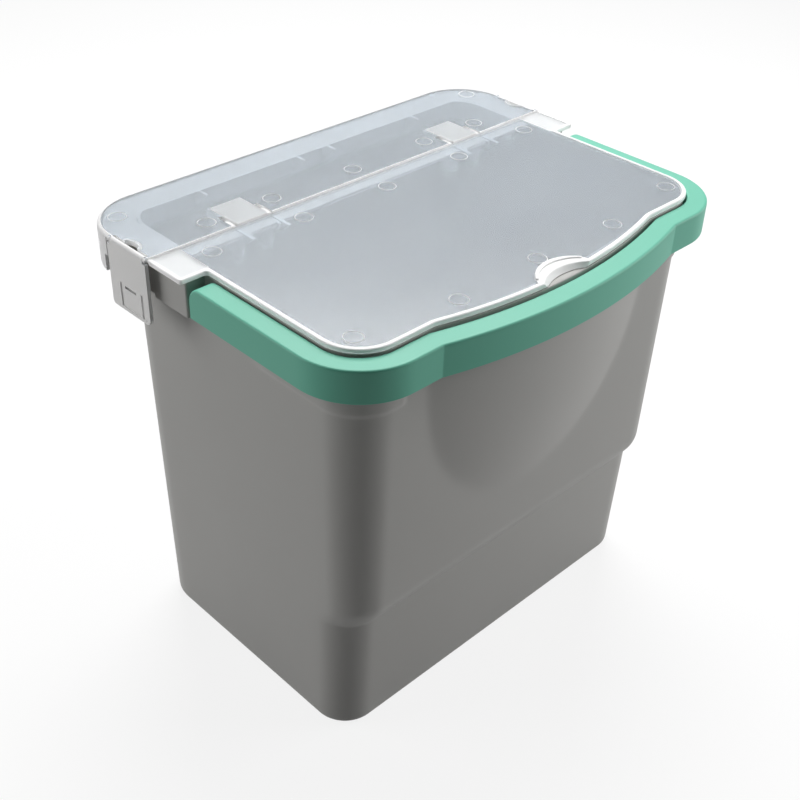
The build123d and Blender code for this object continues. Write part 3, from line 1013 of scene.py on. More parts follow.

# %% [markdown]
# The lid is milky clear plastic. Where one looks straight through a plate, most of the
# light passes. Along lips, rounded edges and ribs one looks through much more of it, and
# it turns nearly white. Light that scatters inside the plastic would do this by itself,
# but it renders slowly and with noise, so that scattered light is painted in: five
# finishes share the work, from clear to nearly white: the plates, the hoods and
# shoulders, the edges, the latches and the ribs. All but the plates' finish are painted
# scattered light, and the latches are white plastic as well.
#
# A lamp's light is stopped by a shader that refracts, and all that lies under the lid
# would then be dark. So each finish lets a part of the lamp's light straight through:
# for shadow rays alone, a share of a Transparent shader is mixed in.

# %% Clear finish and finishes of painted scattered light
lamp_share = 0.5
lamp_tint = (0.90, 0.875, 0.855)
frost_ior = 1.30
frost_bump = 0.20
frost_spread = 0.03


def frosted(name, colour, deep_colour, roughness, clear):
    """A translucent plastic that lets a share of the light through."""
    material, shader = plastic(name, colour, deep_colour, roughness, frost_bump, frost_spread)
    shader.inputs["Transmission Weight"].default_value = clear
    shader.inputs["IOR"].default_value = frost_ior
    tree = material.node_tree
    rays = node(tree, "ShaderNodeLightPath")
    share = node(tree, "ShaderNodeMath")
    share.operation = "MULTIPLY"
    share.inputs[1].default_value = clear * lamp_share
    through = node(tree, "ShaderNodeBsdfTransparent", Color=(*lamp_tint, 1.0))
    mix = node(tree, "ShaderNodeMixShader")
    out = next(n for n in tree.nodes if n.type == "OUTPUT_MATERIAL")
    wire(
        tree,
        (rays, "Is Shadow Ray", share, 0),
        (share, 0, mix, 0),
        (shader, 0, mix, 1),
        (through, 0, mix, 2),
        (mix, 0, out, "Surface"),
    )
    return material


lid_frost = frosted("lid_frost", (0.74, 0.80, 0.85), (0.72, 0.78, 0.835), 0.20, 0.76)
# Whiter copies of the clear plastic: painted scattered light; the latch's is also its own white.
milky_painted_light = frosted("milky_painted_light", (0.82, 0.84, 0.85), (0.80, 0.825, 0.84), 0.36, 0.62)
edge_painted_light = frosted("edge_painted_light", (0.98, 0.98, 0.98), (0.965, 0.965, 0.965), 0.40, 0.16)
latch_white_and_painted_light = frosted("latch_white_and_painted_light", (0.985, 0.98, 0.97), (0.97, 0.965, 0.955), 0.36, 0.10)
rib_painted_light = frosted("rib_painted_light", (0.95, 0.91, 0.885), (0.93, 0.89, 0.865), 0.38, 0.26)
print("clear finishes made")

# %% [markdown]
# A plate gets its finishes face by face. Faces that lean away from the plate's own
# direction are edges and turn white, by painted scattered light. A test may name further
# faces as clouded or milky, which is painted scattered light too.

# %% Finishes of a plate, face by face
flat_from = 0.95


def paint_scattered_light(mesh, axis, clouded=None, milky=None):
    """Painted scattered light: the clouded finish for faces that lean or pass a test, milky for
    another test.
    """
    mesh.materials.append(edge_painted_light)
    mesh.materials.append(milky_painted_light)
    counts = [0, 0, 0]
    for face in mesh.polygons:
        if abs(face.normal[axis]) < flat_from or (clouded and clouded(face)):
            face.material_index = 1
        elif milky and milky(face):
            face.material_index = 2
        counts[face.material_index] += 1
    print(mesh.name, "clear, clouded and milky faces:", counts)


# %% [markdown]
# Dressing a piece means giving its mesh one material, naming the body it rides on, and
# saying which plain solid it takes the place of.

# %% Dress the tub and the handle
def dress(name, mesh, material, body, stands_for=()):
    """Puts a finished mesh in the scene as a piece of the bucket."""
    mesh.materials.clear()
    mesh.materials.append(material)
    piece = link_piece(name, mesh)
    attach(piece, body)
    if stands_for:
        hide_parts(*stands_for)
    return piece


dress("tub_shell", tub_mesh, tub_grey, "tub", ["bucket_tub"])
dress("tub_rim_band", band_mesh, tub_grey, "tub", ["rim_flange"])
dress("tub_shelf_and_stubs", tub_fittings, tub_grey, "tub")
dress("handle_bow", handle_mesh, handle_green, "handle", ["carry_handle"])
ribs_mesh = grown(
    "handle_ribs",
    line_mesh("rib_line", rib_line()),
    ribs_tree(),
    {"Count": rib_count, "Size": (rib_thickness, rib_width, rib_height), "Finish": handle_green},
)
dress("handle_ribs", ribs_mesh, handle_green, "handle")

# %% [markdown]
# ## The rear lid
#
# The rear lid is a thin tray: a plate with a large soft edge and a skirt outside the
# rim band. Below it hang a plug rib that keeps it inside the rim, a ledge that the flap
# lies over, and two hinge housings. Each part is a small closed solid. What is seen from
# above becomes one skin, and what hangs below becomes a second one, a hair lower, with a
# whiter finish of painted scattered light: then the ribs read as pale shapes through the
# clear plate, as they do on the real lid, where light gathers in them.

# %% Sizes of the lid
lid_top = 0.2686
lid_under = 0.2666
lip_bottom = 0.2659
split_front = 0.04685
split_rear = 0.04755
split_soft_from = 0.0005
lid_half_width = 0.1500
lid_rear = lid_high.y
lid_corner_radius = 0.0335
lid_edge = 0.0028
skirt_wall = 0.0020
skirt_bottom = lid_low.z
skirt_start = 0.0840
skirt_notch = 0.0030
skirt_notch_top = 0.2560
skirt_room = 0.0042
skirt_room_top = lid_under + 0.0002
trim_edge = 0.0003
sunk = 0.0004
open_end = 0.01
beyond = 0.4
below = 0.2
above = 0.3
print("plate from", lid_under, "to", lid_top)

# %% [markdown]
# The tray is a block with its edge rounded, from which a smaller block is cut. The cutter
# reaches past the front, where the tray is open.

# %% Plate and skirt of the lid
def lid_plan(inset, front=0.0):
    """The rear lid's plan, its front edge on the split and softly rounded at the top."""
    x = lid_half_width - inset
    y = lid_rear - inset
    start = split_rear - front + max(0.0, inset - split_soft_from) / 2
    radius = lid_corner_radius - inset
    return rounded_loop([(x, start, 0), (x, y, radius), (-x, y, radius), (-x, start, 0)])


def lid_tray():
    """The plate with its rounded edge and the skirt."""
    inner = lid_edge - (lid_top - lid_under)
    low = skirt_bottom
    # Each pair says how far in and how high, from the skirt's lower edge upwards.
    outside = [(0.0006, low), (0.0001, low + 0.0003), (0.0, low + 0.0008)]
    outside += rounding(lid_top, lid_edge, 7)
    inside = [(skirt_wall - 0.0005, low - 0.0010), (skirt_wall - 0.0005, low)]
    inside.append((skirt_wall, low + 0.0005))
    inside += [(skirt_wall + inset, z) for inset, z in rounding(lid_under, inner, 3)]
    block = slab("lid_block", lid_plan, outside)
    hollow = slab("lid_hollow", lambda inset: lid_plan(inset, open_end), inside)
    return carve("lid_tray", block, cut=[hollow])


print("skirt from", round(skirt_bottom, 4), "to", lid_under)

# %% [markdown]
# Under the plate, an upright wall runs round the sides and the rear, with four small
# three-cornered ribs on its inner side. The same helper makes the thin band that lies
# over the rim. Their upper ends stay a hair below the plate.

# %% Plug rib and gussets
plug_inset = 0.0040
plug_half_width = rim_half_width - plug_inset
plug_rear = rim_rear - 0.0034
plug_radius = rear_corner_radius - plug_inset
plug_thickness = 0.0018
plug_bottom = 0.2534
plug_edge = 0.0004
gusset_places = (-0.082, -0.012, 0.012, 0.082)
gusset_thickness = 0.0016
gusset_reach = 0.0110
gusset_end = 0.0006
seat_inset = 0.0030
seat_half_width = lid_half_width - seat_inset
seat_rear = lid_rear - seat_inset
seat_thickness = 0.0004
under_top = lid_under - hair


def u_band(name, half_width, rear, radius, thickness, bottom, top, front, edge):
    """An upright wall round the sides and the rear, open in front."""
    inner_x = half_width - thickness
    inner_y = rear - thickness
    inner_radius = radius - thickness
    loop = rounded_loop(
        [
            (half_width, front, 0),
            (half_width, rear, radius),
            (-half_width, rear, radius),
            (-half_width, front, 0),
            (-inner_x, front, 0),
            (-inner_x, inner_y, inner_radius),
            (inner_x, inner_y, inner_radius),
            (inner_x, front, 0),
        ]
    )
    return slab(name, loop, [(edge, bottom), (0.0, bottom + edge), (0.0, top)])


def gusset(place):
    """A three-cornered rib between the plug rib and the plate."""
    y = plug_rear - plug_thickness / 2
    loop = [
        (y, plug_bottom + plug_edge),
        (y, under_top),
        (y - plug_thickness / 2 - gusset_reach, under_top),
        (y - plug_thickness / 2 - gusset_reach, lid_under - gusset_end),
    ]
    half = gusset_thickness / 2
    return side_prism("gusset", loop, place - half, place + half)


print("plug rib from", plug_bottom, "to", lid_under)

# %% [markdown]
# Each hinge housing is a raised hood over two cheeks. The cheeks hang below the plate
# and run forward under the ledge, and each ends in a rounded lobe. The flap's ears turn
# on pins just outside the cheeks, in slots cut through the ledge and the plate. Hinges
# that really turn need their gaps and pins in the right place, so all sizes come first.

# %% Hinge housings
hinge_places = (-0.082, 0.082)
hinge_y = 0.0539
hinge_z = 0.2635
hinge_pin_radius = 0.0020
hinge_clearance = 0.00005
hood_width = 0.0210
hood_rear = 0.0720
hood_rise = lid_high.z - lid_top
hood_edge = 0.0008
cheek_thickness = 0.0018
cheek_front = 0.0367
cheek_rear = 0.0740
cheek_nose = 0.2642
cheek_bottom = 0.2535
lobe_front = 0.0443
lobe_rear = 0.0560
lobe_neck = 0.2555
lobe_bottom = 0.2480
lobe_end = 0.0600
ledge_front = 0.0385
ledge_top = 0.2662
ledge_thickness = 0.0020
ledge_root = 0.0024
ledge_soft = 0.0003
ledge_half_width = 0.1303
ear_thickness = 0.0022
ear_gap = 0.0004
ear_radius = 0.0046
ear_slot_rear = 0.0605
print("hinge line at", hinge_y, hinge_z)

# %% [markdown]
# A cheek's outline is drawn from the side, with a radius of its own at each corner: three
# numbers for each, how far back, how high and how round. The hood is a plain box.

# %% Cheeks and hoods
def cheek(x_low, x_high):
    """A cheek of a hinge housing, its lobe rounded."""
    root = split_rear + 2 * hair
    top = ledge_top - hair
    loop = rounded_loop(
        [
            (cheek_rear, under_top, 0),
            (root, under_top, 0),
            (root, top, 0),
            (cheek_front, top, 0.0008),
            (cheek_front, cheek_nose, 0.0020),
            (lobe_front, lobe_neck, 0.0010),
            (lobe_front, lobe_bottom, 0.0040),
            (lobe_rear, lobe_bottom, 0.0030),
            (lobe_end, cheek_bottom, 0.0020),
            (cheek_rear, cheek_bottom, 0.0015),
        ],
        math.radians(15),
    )
    return side_prism("cheek", [(p.x, p.y) for p in loop], x_low, x_high, trim_edge)


def hood(place):
    """The raised hood over one hinge."""
    half = hood_width / 2
    low = (place - half, split_rear + hair, lid_under + sunk)
    high = (place + half, hood_rear, lid_top + hood_rise)
    return box_between("hood_roof", low, high, hood_edge)


def cheeks(place):
    """The two cheeks under one hood."""
    half = hood_width / 2
    left = cheek(place - half, place - half + cheek_thickness)
    right = cheek(place + half - cheek_thickness, place + half)
    return [left, right]


def ear_spans(place):
    """The two stretches of X taken by the flap's ears at one hinge."""
    near = hood_width / 2 + ear_gap
    far = near + ear_thickness
    return ((place - far, place - near), (place + near, place + far))


right_ears = ear_spans(hinge_places[1])
print("ears at the right hinge:", [[round(x, 4) for x in span] for span in right_ears])

# %% [markdown]
# The ledge runs from side to side under the flap's rear edge. Plain boxes are used as
# cutters from here on.

# %% Ledge and cutters
def ledge():
    """The ledge below the flap's rear edge, with its root under the plate."""
    low = ledge_top - ledge_thickness
    root_rear = split_rear + ledge_root
    root_front = split_rear + hair
    loop = [
        (ledge_front + ledge_soft, ledge_top),
        (ledge_front, ledge_top - ledge_soft),
        (ledge_front, low + ledge_soft),
        (ledge_front + ledge_soft, low),
        (root_rear, low),
        (root_rear, under_top),
        (root_front, under_top),
        (root_front, ledge_top),
    ]
    return side_prism("ledge", loop, -ledge_half_width, ledge_half_width)


def cutter(x_range, y_range, z_range):
    """A plain box to cut with."""
    low, high = zip(x_range, y_range, z_range)
    return box_between("cutter", low, high)


print("ledge from", ledge_front, "to", round(split_rear + ledge_root, 4))

# %% [markdown]
# At each side the plate makes room for a latch, which turns on a thin pin between two
# lugs. Beside it a half-round opening with a raised arch lets a fingertip in. All this is
# made for the right side, and the left side is its mirror image.

# %% Room for the latches
latch_front = latch_low.y
latch_shorter = 0.0018  # the visible panel ends this much before the solid's
latch_rear = latch_high.y - latch_shorter
latch_bottom = latch_low.z
latch_outer = latch_high.x
latch_barrel = 0.0017
latch_pin = 0.0009
latch_clearance = hair
latch_lug = 0.0020
latch_gap = 0.0004
latch_axis_x = latch_outer - latch_barrel
latch_axis_z = lid_top - latch_barrel
latch_middle = (latch_front + latch_rear) / 2
latch_pin_length = latch_rear - latch_front - latch_lug
barrel_front = latch_front + latch_lug + latch_gap
barrel_rear = latch_rear - latch_lug - latch_gap
barrel_room = latch_axis_x - latch_barrel - latch_gap
round_pin_segments = 24
arch_half_length = 0.0055
arch_border = 0.0019
arch_rise = 0.0005
arch_soft = 0.0005
arch_points = 40
print("latch turns at", round(latch_axis_x, 4), round(latch_axis_z, 4))

# %% Seats and cutters of the latches
def arch_loop(extra):
    """A flat half-round opening beside the latch, with its middle on the edge."""
    loop = []
    for k in range(arch_points):
        angle = 2 * math.pi * k / arch_points
        x = barrel_room + (arch_half_length / 2 + extra) * math.cos(angle)
        y = latch_middle + (arch_half_length + extra) * math.sin(angle)
        loop.append(Vector((x, y)))
    return loop


def latch_seat_solids():
    """The lugs and the raised arch on the right side."""
    found = []
    for y in (latch_front + latch_lug / 2, latch_rear - latch_lug / 2):
        centre = (latch_axis_x, y, latch_axis_z)
        found.append(rod("lug", centre, latch_barrel, latch_lug, (0, 1, 0)))
    rise = [(0.0, lid_under + sunk)] + rounding(lid_top + arch_rise, arch_soft, 3)
    found.append(slab("arch", arch_loop(arch_border), rise))
    return found


def latch_seat_cuts():
    """What the plate leaves free on the right side."""
    room = cutter((barrel_room, beyond), (barrel_front, barrel_rear), (0, beyond))
    hole = slab("arch_hole", arch_loop(0.0), [(0.0, below), (0.0, above)])
    pin_hole = rod(
        "pin_hole",
        (latch_axis_x, latch_middle, latch_axis_z),
        latch_pin + latch_clearance,
        latch_pin_length + 2 * latch_clearance,
        (0, 1, 0),
        segments=round_pin_segments,
    )
    return [room, hole, pin_hole]


print("barrel's room starts at", round(barrel_room, 4))

# %% [markdown]
# The parts are joined and cut in two goes, one for each skin. Every cutter is a little
# larger than the part it has to pass, because a boolean often fails where faces lie
# exactly on each other.

# %% Carve the rear lid
bore_spare = 0.001


def ear_slots():
    """Slots for the flap's ears."""
    found = []
    for place in hinge_places:
        for low, high in ear_spans(place):
            room = (low - ear_gap + hair, high + ear_gap - hair)
            found.append(cutter(room, (0, ear_slot_rear), (below, beyond)))
    return found


def rear_lid_mesh():
    """The plate with its skirt, hoods and latch seats, as one skin."""
    seat = latch_seat_solids()
    added = [hood(place) for place in hinge_places]
    added += seat + [mirrored(mesh) for mesh in seat]
    cuts = []
    for side in (-1, 1):
        span = sorted((side * (lid_half_width - skirt_room), side * beyond))
        cuts.append(cutter(span, (0, skirt_start), (below, skirt_room_top)))
        cuts.append(cutter(span, (0, skirt_start + skirt_notch), (below, skirt_notch_top)))
    room = latch_seat_cuts()
    cuts += ear_slots() + room + [mirrored(mesh) for mesh in room]
    return carve("rear_lid_skin", lid_tray(), added, cuts)


def lid_under_mesh():
    """What hangs under the plate: plug rib, seat band, ledge, gussets and cheeks."""
    rib = u_band(
        "plug_rib", plug_half_width, plug_rear, plug_radius, plug_thickness,
        plug_bottom, under_top, split_rear + 2 * hair, plug_edge,
    )
    band = u_band(
        "seat_band", seat_half_width, seat_rear, lid_corner_radius - seat_inset,
        seat_half_width - plug_half_width + hair,
        under_top - seat_thickness, under_top, split_rear + 3 * hair, hair,
    )
    added = [band, ledge()] + [gusset(place) for place in gusset_places]
    cuts = ear_slots()
    for place in hinge_places:
        added += cheeks(place)
        bore = rod(
            "hinge_bore",
            (place, hinge_y, hinge_z),
            hinge_pin_radius + hinge_clearance,
            hood_width + bore_spare,
            (1, 0, 0),
        )
        cuts.append(bore)
    room = latch_seat_cuts()[:2]
    cuts += room + [mirrored(mesh) for mesh in room]
    return carve("lid_under_skin", rib, added, cuts)


print("slots for the ears end at", ear_slot_rear)

# %% [markdown]
# The plate is clear. Its edges get the white finish, the tops of the hoods and arches,
# which are thicker, the milky one, and on the ribs below the upright faces the whitest:
# all painted scattered light.

# %% Dress the rear lid
rib_side = 0.7


def lid_raised(face):
    """The tops of the hoods and of the arches beside the latches."""
    return face.center.z > lid_top + hair


rear_lid = dress("lid_rear_half", rear_lid_mesh(), lid_frost, "lid", ["rear_lid"])
paint_scattered_light(rear_lid.data, 2, milky=lid_raised)
lid_parts = dress("lid_rear_ribs", lid_under_mesh(), rib_painted_light, "lid")
lid_parts.data.materials.append(edge_painted_light)
# Upright rib faces take the whitest finish: painted scattered light.
for face in lid_parts.data.polygons:
    face.material_index = int(abs(face.normal.z) < rib_side)
flat_facets(lid_parts)
flat_facets(rear_lid)

# %% [markdown]
# ## The front flap
#
# The flap is a plate with a lip below its edge. Its plan has soft shoulders at the
# split, round front corners, a bow that follows the handle and a small round notch for
# a fingertip. The middle of the plate lies a little lower than its border. Four ears with
# pins reach back into the hinges. The bow is sampled as points, and the other corners
# are rounded by the outline helper.

# %% Plan of the flap
flap_half_width = rim_half_width + 0.0003
flap_front = rim_front - 0.0002
flap_corner = 0.0235
flap_bow_half_width = 0.0835
flap_apex = rim_front - bow_depth + 0.0013
flap_bow_soft = 0.0120
shoulder_half_width = lid_half_width - 0.0003
shoulder_front = 0.0190
shoulder_soft = 0.0018
flap_depth = flap_front - flap_apex
flap_bow_radius = (flap_bow_half_width**2 + flap_depth**2) / (2 * flap_depth)
flap_bow_centre = flap_apex + flap_bow_radius
bow_end_gap = 0.006
flap_bow_steps = 52


def arc_y(x, centre, radius, side):
    """A circle's Y at a place, on its front side (-1) or its rear side (1)."""
    return centre + side * math.sqrt(radius**2 - x * x)


def flap_corners(border=0.0):
    """Corners of the front of the flap's plan, from left to right, drawn in by a border."""
    x = flap_half_width - border
    front = flap_front + border
    radius = flap_bow_radius - border
    bow = math.sqrt(radius**2 - (flap_bow_centre - front) ** 2)
    corners = [(-x, front, flap_corner - border), (-bow, front, flap_bow_soft + border)]
    reach = bow - bow_end_gap
    for k in range(flap_bow_steps + 1):
        at = reach * (2 * k / flap_bow_steps - 1)
        corners.append((at, arc_y(at, flap_bow_centre, radius, -1), 0))
    return corners + [(bow, front, flap_bow_soft + border), (x, front, flap_corner - border)]


def flap_plan():
    """The whole plan, with the shoulders that reach over the rim band."""
    corners = flap_corners()
    for side in (1, -1):
        turn = [
            (side * flap_half_width, shoulder_front, shoulder_soft),
            (side * shoulder_half_width, shoulder_front, shoulder_soft),
            (side * shoulder_half_width, split_front, 0),
        ]
        corners += turn if side == 1 else reversed(turn)
    return rounded_loop(corners)


def flap_inner_plan(border, rear, radius):
    """A plan inside a border along the front and the sides, straight at the rear."""
    x = flap_half_width - border
    return rounded_loop(flap_corners(border) + [(x, rear, radius), (-x, rear, radius)])


flap_loop = flap_plan()
print("points round the flap:", len(flap_loop))

# %% [markdown]
# The flap is cut from one block: the hollow under it, the recess in its top, the room for
# the rim and the ledge at the rear, and a slant along the split. The recess has the plan
# of the flap itself, moved in, and two boxes carry it on over the shoulders.

# %% Carve the flap
lip_thickness = 0.0030
lip_edge = 0.0003
lip_inner_edge = 0.0002
flap_edge = 0.0009
flap_border = 0.0024
split_ridge = 0.0007
flap_recess = 0.0003
recess_top = lid_top + 0.002
shoulder_cut_top = lid_top + 0.003
shoulder_overlap = 0.0010
flap_open_low = lip_bottom - 0.0010
undercut_gap = 0.0002
undercut_run = 0.0040
undercut_past = 0.0020
undercut_top = lid_top - 0.0006
undercut_low = lid_top - 0.0044


def flap_shoulder(side):
    """The cutter that carries the recess on over one shoulder."""
    inner_x = flap_half_width - flap_border - shoulder_overlap
    span = sorted((side * inner_x, side * (shoulder_half_width - flap_border)))
    depth = (shoulder_front + flap_border, split_front - split_ridge - hair)
    return cutter(span, depth, (lid_top - flap_recess - hair, shoulder_cut_top))


def flap_undercut():
    """A slant below the flap's rear edge, which lets it turn beside the rear lid."""
    loop = [
        (split_front - undercut_gap, undercut_top),
        (split_front - undercut_run, undercut_low),
        (split_front + undercut_past, undercut_low),
        (split_front + undercut_past, undercut_top),
    ]
    return side_prism("undercut", loop, -beyond, beyond)


def flap_tray():
    """The plate with its lip, a shallow recess inside its border, and room for the ledge."""
    outside = [(lip_edge, lip_bottom), (0.0, lip_bottom + lip_edge)]
    outside += rounding(lid_top, flap_edge, 4)
    inside = [(-lip_inner_edge, flap_open_low), (-lip_inner_edge, lip_bottom)]
    inside += [(0.0, lip_bottom + lip_inner_edge), (0.0, lid_under)]
    block = slab("flap_block", flap_loop, outside)
    under_plan = flap_inner_plan(lip_thickness, split_rear + open_end, 0)
    hollow = slab("flap_hollow", under_plan, inside)
    recess_plan = flap_inner_plan(flap_border, split_front - split_ridge, 0)
    recess = slab("flap_recess", recess_plan, [(0.0, lid_top - flap_recess), (0.0, recess_top)])
    shoulders = [flap_shoulder(-1), flap_shoulder(1)]
    inner = rim_half_width - wall
    rear_room = cutter((-inner, inner), (shoulder_front, beyond), (below, lid_under - sunk / 10))
    cuts = [hollow, rear_room, flap_undercut(), recess, *shoulders]
    return carve("flap_plate", block, cut=cuts)


print("border", flap_border, "wide and", flap_recess, "high")

# %% [markdown]
# In the middle of the bow a scoop lets a fingertip under the flap. Its wall leans back
# from the lower edge to the upper one, so it is a stack of circles that grow and move.
# Behind it the plate is thick, and a crescent stands up as a stop for the finger.

# %% Finger scoop
scoop_low = (0.0160, 0.0040)
scoop_high = (0.0185, 0.0068)
scoop_soft = 0.0006
scoop_under = lip_bottom - 0.0004
scoop_over = lid_top + 0.0030
scoop_points = 240


def arc_through(half_width, depth, apex):
    """Centre and radius of an arc whose middle is at the apex, hollow to the front."""
    radius = (half_width**2 + depth**2) / (2 * depth)
    return apex - radius, radius


def scoop_cutter():
    """A stack of circles, wider and further back towards the top."""
    low_centre, low_radius = arc_through(*scoop_low, flap_apex + scoop_low[1])
    high_centre, high_radius = arc_through(*scoop_high, flap_apex + scoop_high[1])
    heights = [(0.0, scoop_under), (0.0, lip_bottom)]
    heights += rounding(lid_top, scoop_soft, 4)
    heights.append((scoop_soft, scoop_over))
    rings = []
    for grow, z in heights:
        share = (z - lip_bottom) / (lid_top - lip_bottom)
        share = min(share, 1.0)
        centre = low_centre + (high_centre - low_centre) * share
        radius = low_radius + (high_radius - low_radius) * share + grow
        ring = []
        for k in range(scoop_points):
            angle = 2 * math.pi * k / scoop_points
            ring.append((radius * math.cos(angle), centre + radius * math.sin(angle), z))
        rings.append(ring)
    return skin("scoop_cutter", rings)


print("scoop is", 2 * scoop_high[0], "wide at the top")

# %% [markdown]
# The thick part behind the scoop is two lens-shaped slabs, one under the plate and one
# inside it, and the crescent is a band along an arc. All are plans made solid, then
# joined to the plate before the scoop is cut through them.

# %% Crescent and thick part behind the scoop
plan_steps = 40
pad_plan = (0.0205, flap_apex + 0.0095, flap_apex + 0.0020)
flush_plan = (0.0190, flap_apex + 0.0151, flap_apex + 0.0040)
crescent_half = 0.0180
crescent_depth = 0.0090
crescent_reach = 0.0150
crescent_middle = 0.0030
crescent_end = 0.0014
crescent_rise = 0.0006
crescent_soft = 0.0005


def crescent_plan():
    """A band along an arc, wide in the middle and narrow at both ends."""
    steps = plan_steps
    depth = crescent_depth
    centre, radius = arc_through(crescent_half, depth, flap_apex + crescent_reach)
    first = math.asin((radius - depth) / radius)
    outer, inner = [], []
    for k in range(steps + 1):
        angle = first + (math.pi - 2 * first) * k / steps
        width = crescent_end + (crescent_middle - crescent_end) * math.sin(math.pi * k / steps)
        for loop, reach in ((outer, radius), (inner, radius - width)):
            loop.append(Vector((reach * math.cos(angle), centre + reach * math.sin(angle))))
    return outer + list(reversed(inner))


def bow_lens(half_width, rear_apex, rear_end):
    """A plan between an arc and the flap's own bowed edge."""
    rear = arc_through(half_width, rear_apex - rear_end, rear_apex)
    steps = plan_steps
    places = [half_width * (1 - 2 * k / steps) for k in range(steps + 1)]
    loop = [Vector((x, arc_y(x, *rear, 1))) for x in places]
    edge = flap_bow_radius - flap_edge - hair
    return loop + [Vector((x, arc_y(x, flap_bow_centre, edge, -1))) for x in reversed(places)]


def scoop_solids():
    """The thick part behind the scoop, its flush top and the crescent."""
    pad_heights = [(0.0, lip_bottom + hair), (0.0, lid_under + sunk)]
    flush_heights = [(0.0, lid_under + 1.5 * sunk), (0.0, lid_top - hair)]
    rise = [(0.0, lid_top - sunk)] + rounding(lid_top + crescent_rise, crescent_soft, 3)
    pad = slab("scoop_pad", bow_lens(*pad_plan), pad_heights)
    top = slab("scoop_top", bow_lens(*flush_plan), flush_heights)
    return [pad, top, slab("crescent", crescent_plan(), rise)]


print("crescent stands", crescent_rise, "above the plate")

# %% [markdown]
# The ears are prisms seen from the side: a disc round the pin that runs forward under the
# plate. They stay a piece of their own, because a thin upright wall is nearly white on
# the real lid and would turn clear if it shared the plate's skin. Their white finish is
# painted scattered light.

# %% Ears of the flap
ear_front = 0.0310
ear_chin = 0.0380
ear_drop = 0.0060
ear_turn = 100
ear_steps = 12
ear_rear = split_rear + 0.0005
ear_top = lid_top - 0.0006


def ear(x_low, x_high):
    """A hinge ear: a disc round the pin, reaching forward under the plate."""
    loop = [(ear_front, under_top), (ear_chin, lid_under - ear_drop)]
    for k in range(ear_steps + 1):
        angle = math.radians(-ear_turn + 2 * ear_turn * k / ear_steps)
        across = ear_radius * math.cos(angle)
        loop.append((hinge_y + across, hinge_z + ear_radius * math.sin(angle)))
    loop += [(ear_rear, ear_top), (split_front, under_top)]
    return side_prism("ear", loop, x_low, x_high, trim_edge)


def flap_ears_mesh():
    """The four ears with their pins."""
    solids = []
    pin_length = ear_gap + cheek_thickness + ear_thickness / 2
    for place in hinge_places:
        for side, (low, high) in zip((-1, 1), ear_spans(place)):
            middle = place + side * (hood_width / 2 - cheek_thickness + pin_length / 2)
            centre = (middle, hinge_y, hinge_z)
            pin = rod("pin", centre, hinge_pin_radius, pin_length, (1, 0, 0), trim_edge)
            solids += [ear(low, high), pin]
    return carve("flap_ears", solids[0], solids[1:])


# %% [markdown]
# On the flap, the border and the lip are clouded and the plate between them is clear. The
# shoulders lie over the grey rim, and there the real plate looks milky. The clouded and
# milky finishes are painted scattered light.

# %% Dress the flap
under_margin = 0.0003


def flap_thick(face):
    """The lower faces of the lip and the shoulders, and what stands above the recess."""
    z = face.center.z
    return z < lid_under - under_margin or z > lid_top - flap_recess / 2


def shoulder_top(face):
    """The floor of the recess over a shoulder, just below the plate's own."""
    level = lid_top - flap_recess
    return abs(face.center.x) > rim_half_width and level - 2 * hair < face.center.z < level


flap_skin = carve("flap_skin", flap_tray(), scoop_solids(), [scoop_cutter()])
flap = dress("lid_front_flap", flap_skin, lid_frost, "flap", ["front_flap"])
paint_scattered_light(flap.data, 2, flap_thick, shoulder_top)
ears = dress("flap_ears", flap_ears_mesh(), edge_painted_light, "flap")
flat_facets(ears)
flat_facets(flap)

# %% [markdown]
# ## The latches
#
# Each latch is a thin panel that hangs from a barrel on the lid's edge and snaps under
# the rim band. Its lower part has a framed window with a slot above it, a groove beside
# it and a hook behind. The panel is a prism seen from the side, and its details are cut
# before the barrel, the pin and the hook are joined to it. The left latch is the right
# one mirrored, with its faces turned back to point outwards.

# %% Sizes of a latch
latch_thickness = 0.0020
latch_inner = latch_outer - latch_thickness
latch_corner = 0.0040
latch_rear_corner = latch_corner * 0.6
latch_top_corner = 0.0006
latch_edge = 0.0005
window_length = 0.0170
window_bottom = latch_bottom + 0.0019
window_top = window_bottom + 0.0146
window_edge = 0.0004
face_depth = 0.0006
latch_face = latch_outer - face_depth
cut_length = 0.004
slot_length = 0.0100
slot_height = 0.0016
slot_through = (0.1, 0.2)
groove_front = latch_front + 0.0031
groove_length = 0.0036
hook_gap = 0.0003
hook_height = 0.0040
hook_top = window_top - 2 * slot_height
print("latch is", round(latch_rear - latch_front, 4), "long")

# %% Carve a latch
def latch_cuts():
    """The room for the lugs, the window, the groove beside it and the slot above it."""
    cuts = []
    for start in (latch_front, latch_rear - latch_lug):
        span = (start - latch_gap, start + latch_lug + latch_gap)
        cuts.append(cutter((0, beyond), span, (latch_axis_z - latch_barrel - latch_gap, beyond)))
    half_window = window_length / 2
    for name, low, high in (
        ("window", latch_middle - half_window, latch_middle + half_window),
        ("groove", groove_front, groove_front + groove_length),
    ):
        corner = (latch_face, low, window_bottom)
        far_corner = (latch_face + cut_length, high, window_top)
        cuts.append(box_between(name, corner, far_corner, window_edge))
    half_slot = slot_length / 2
    corner = (slot_through[0], latch_middle - half_slot, hook_top)
    far_corner = (slot_through[1], latch_middle + half_slot, window_top - slot_height)
    cuts.append(box_between("slot", corner, far_corner))
    return cuts


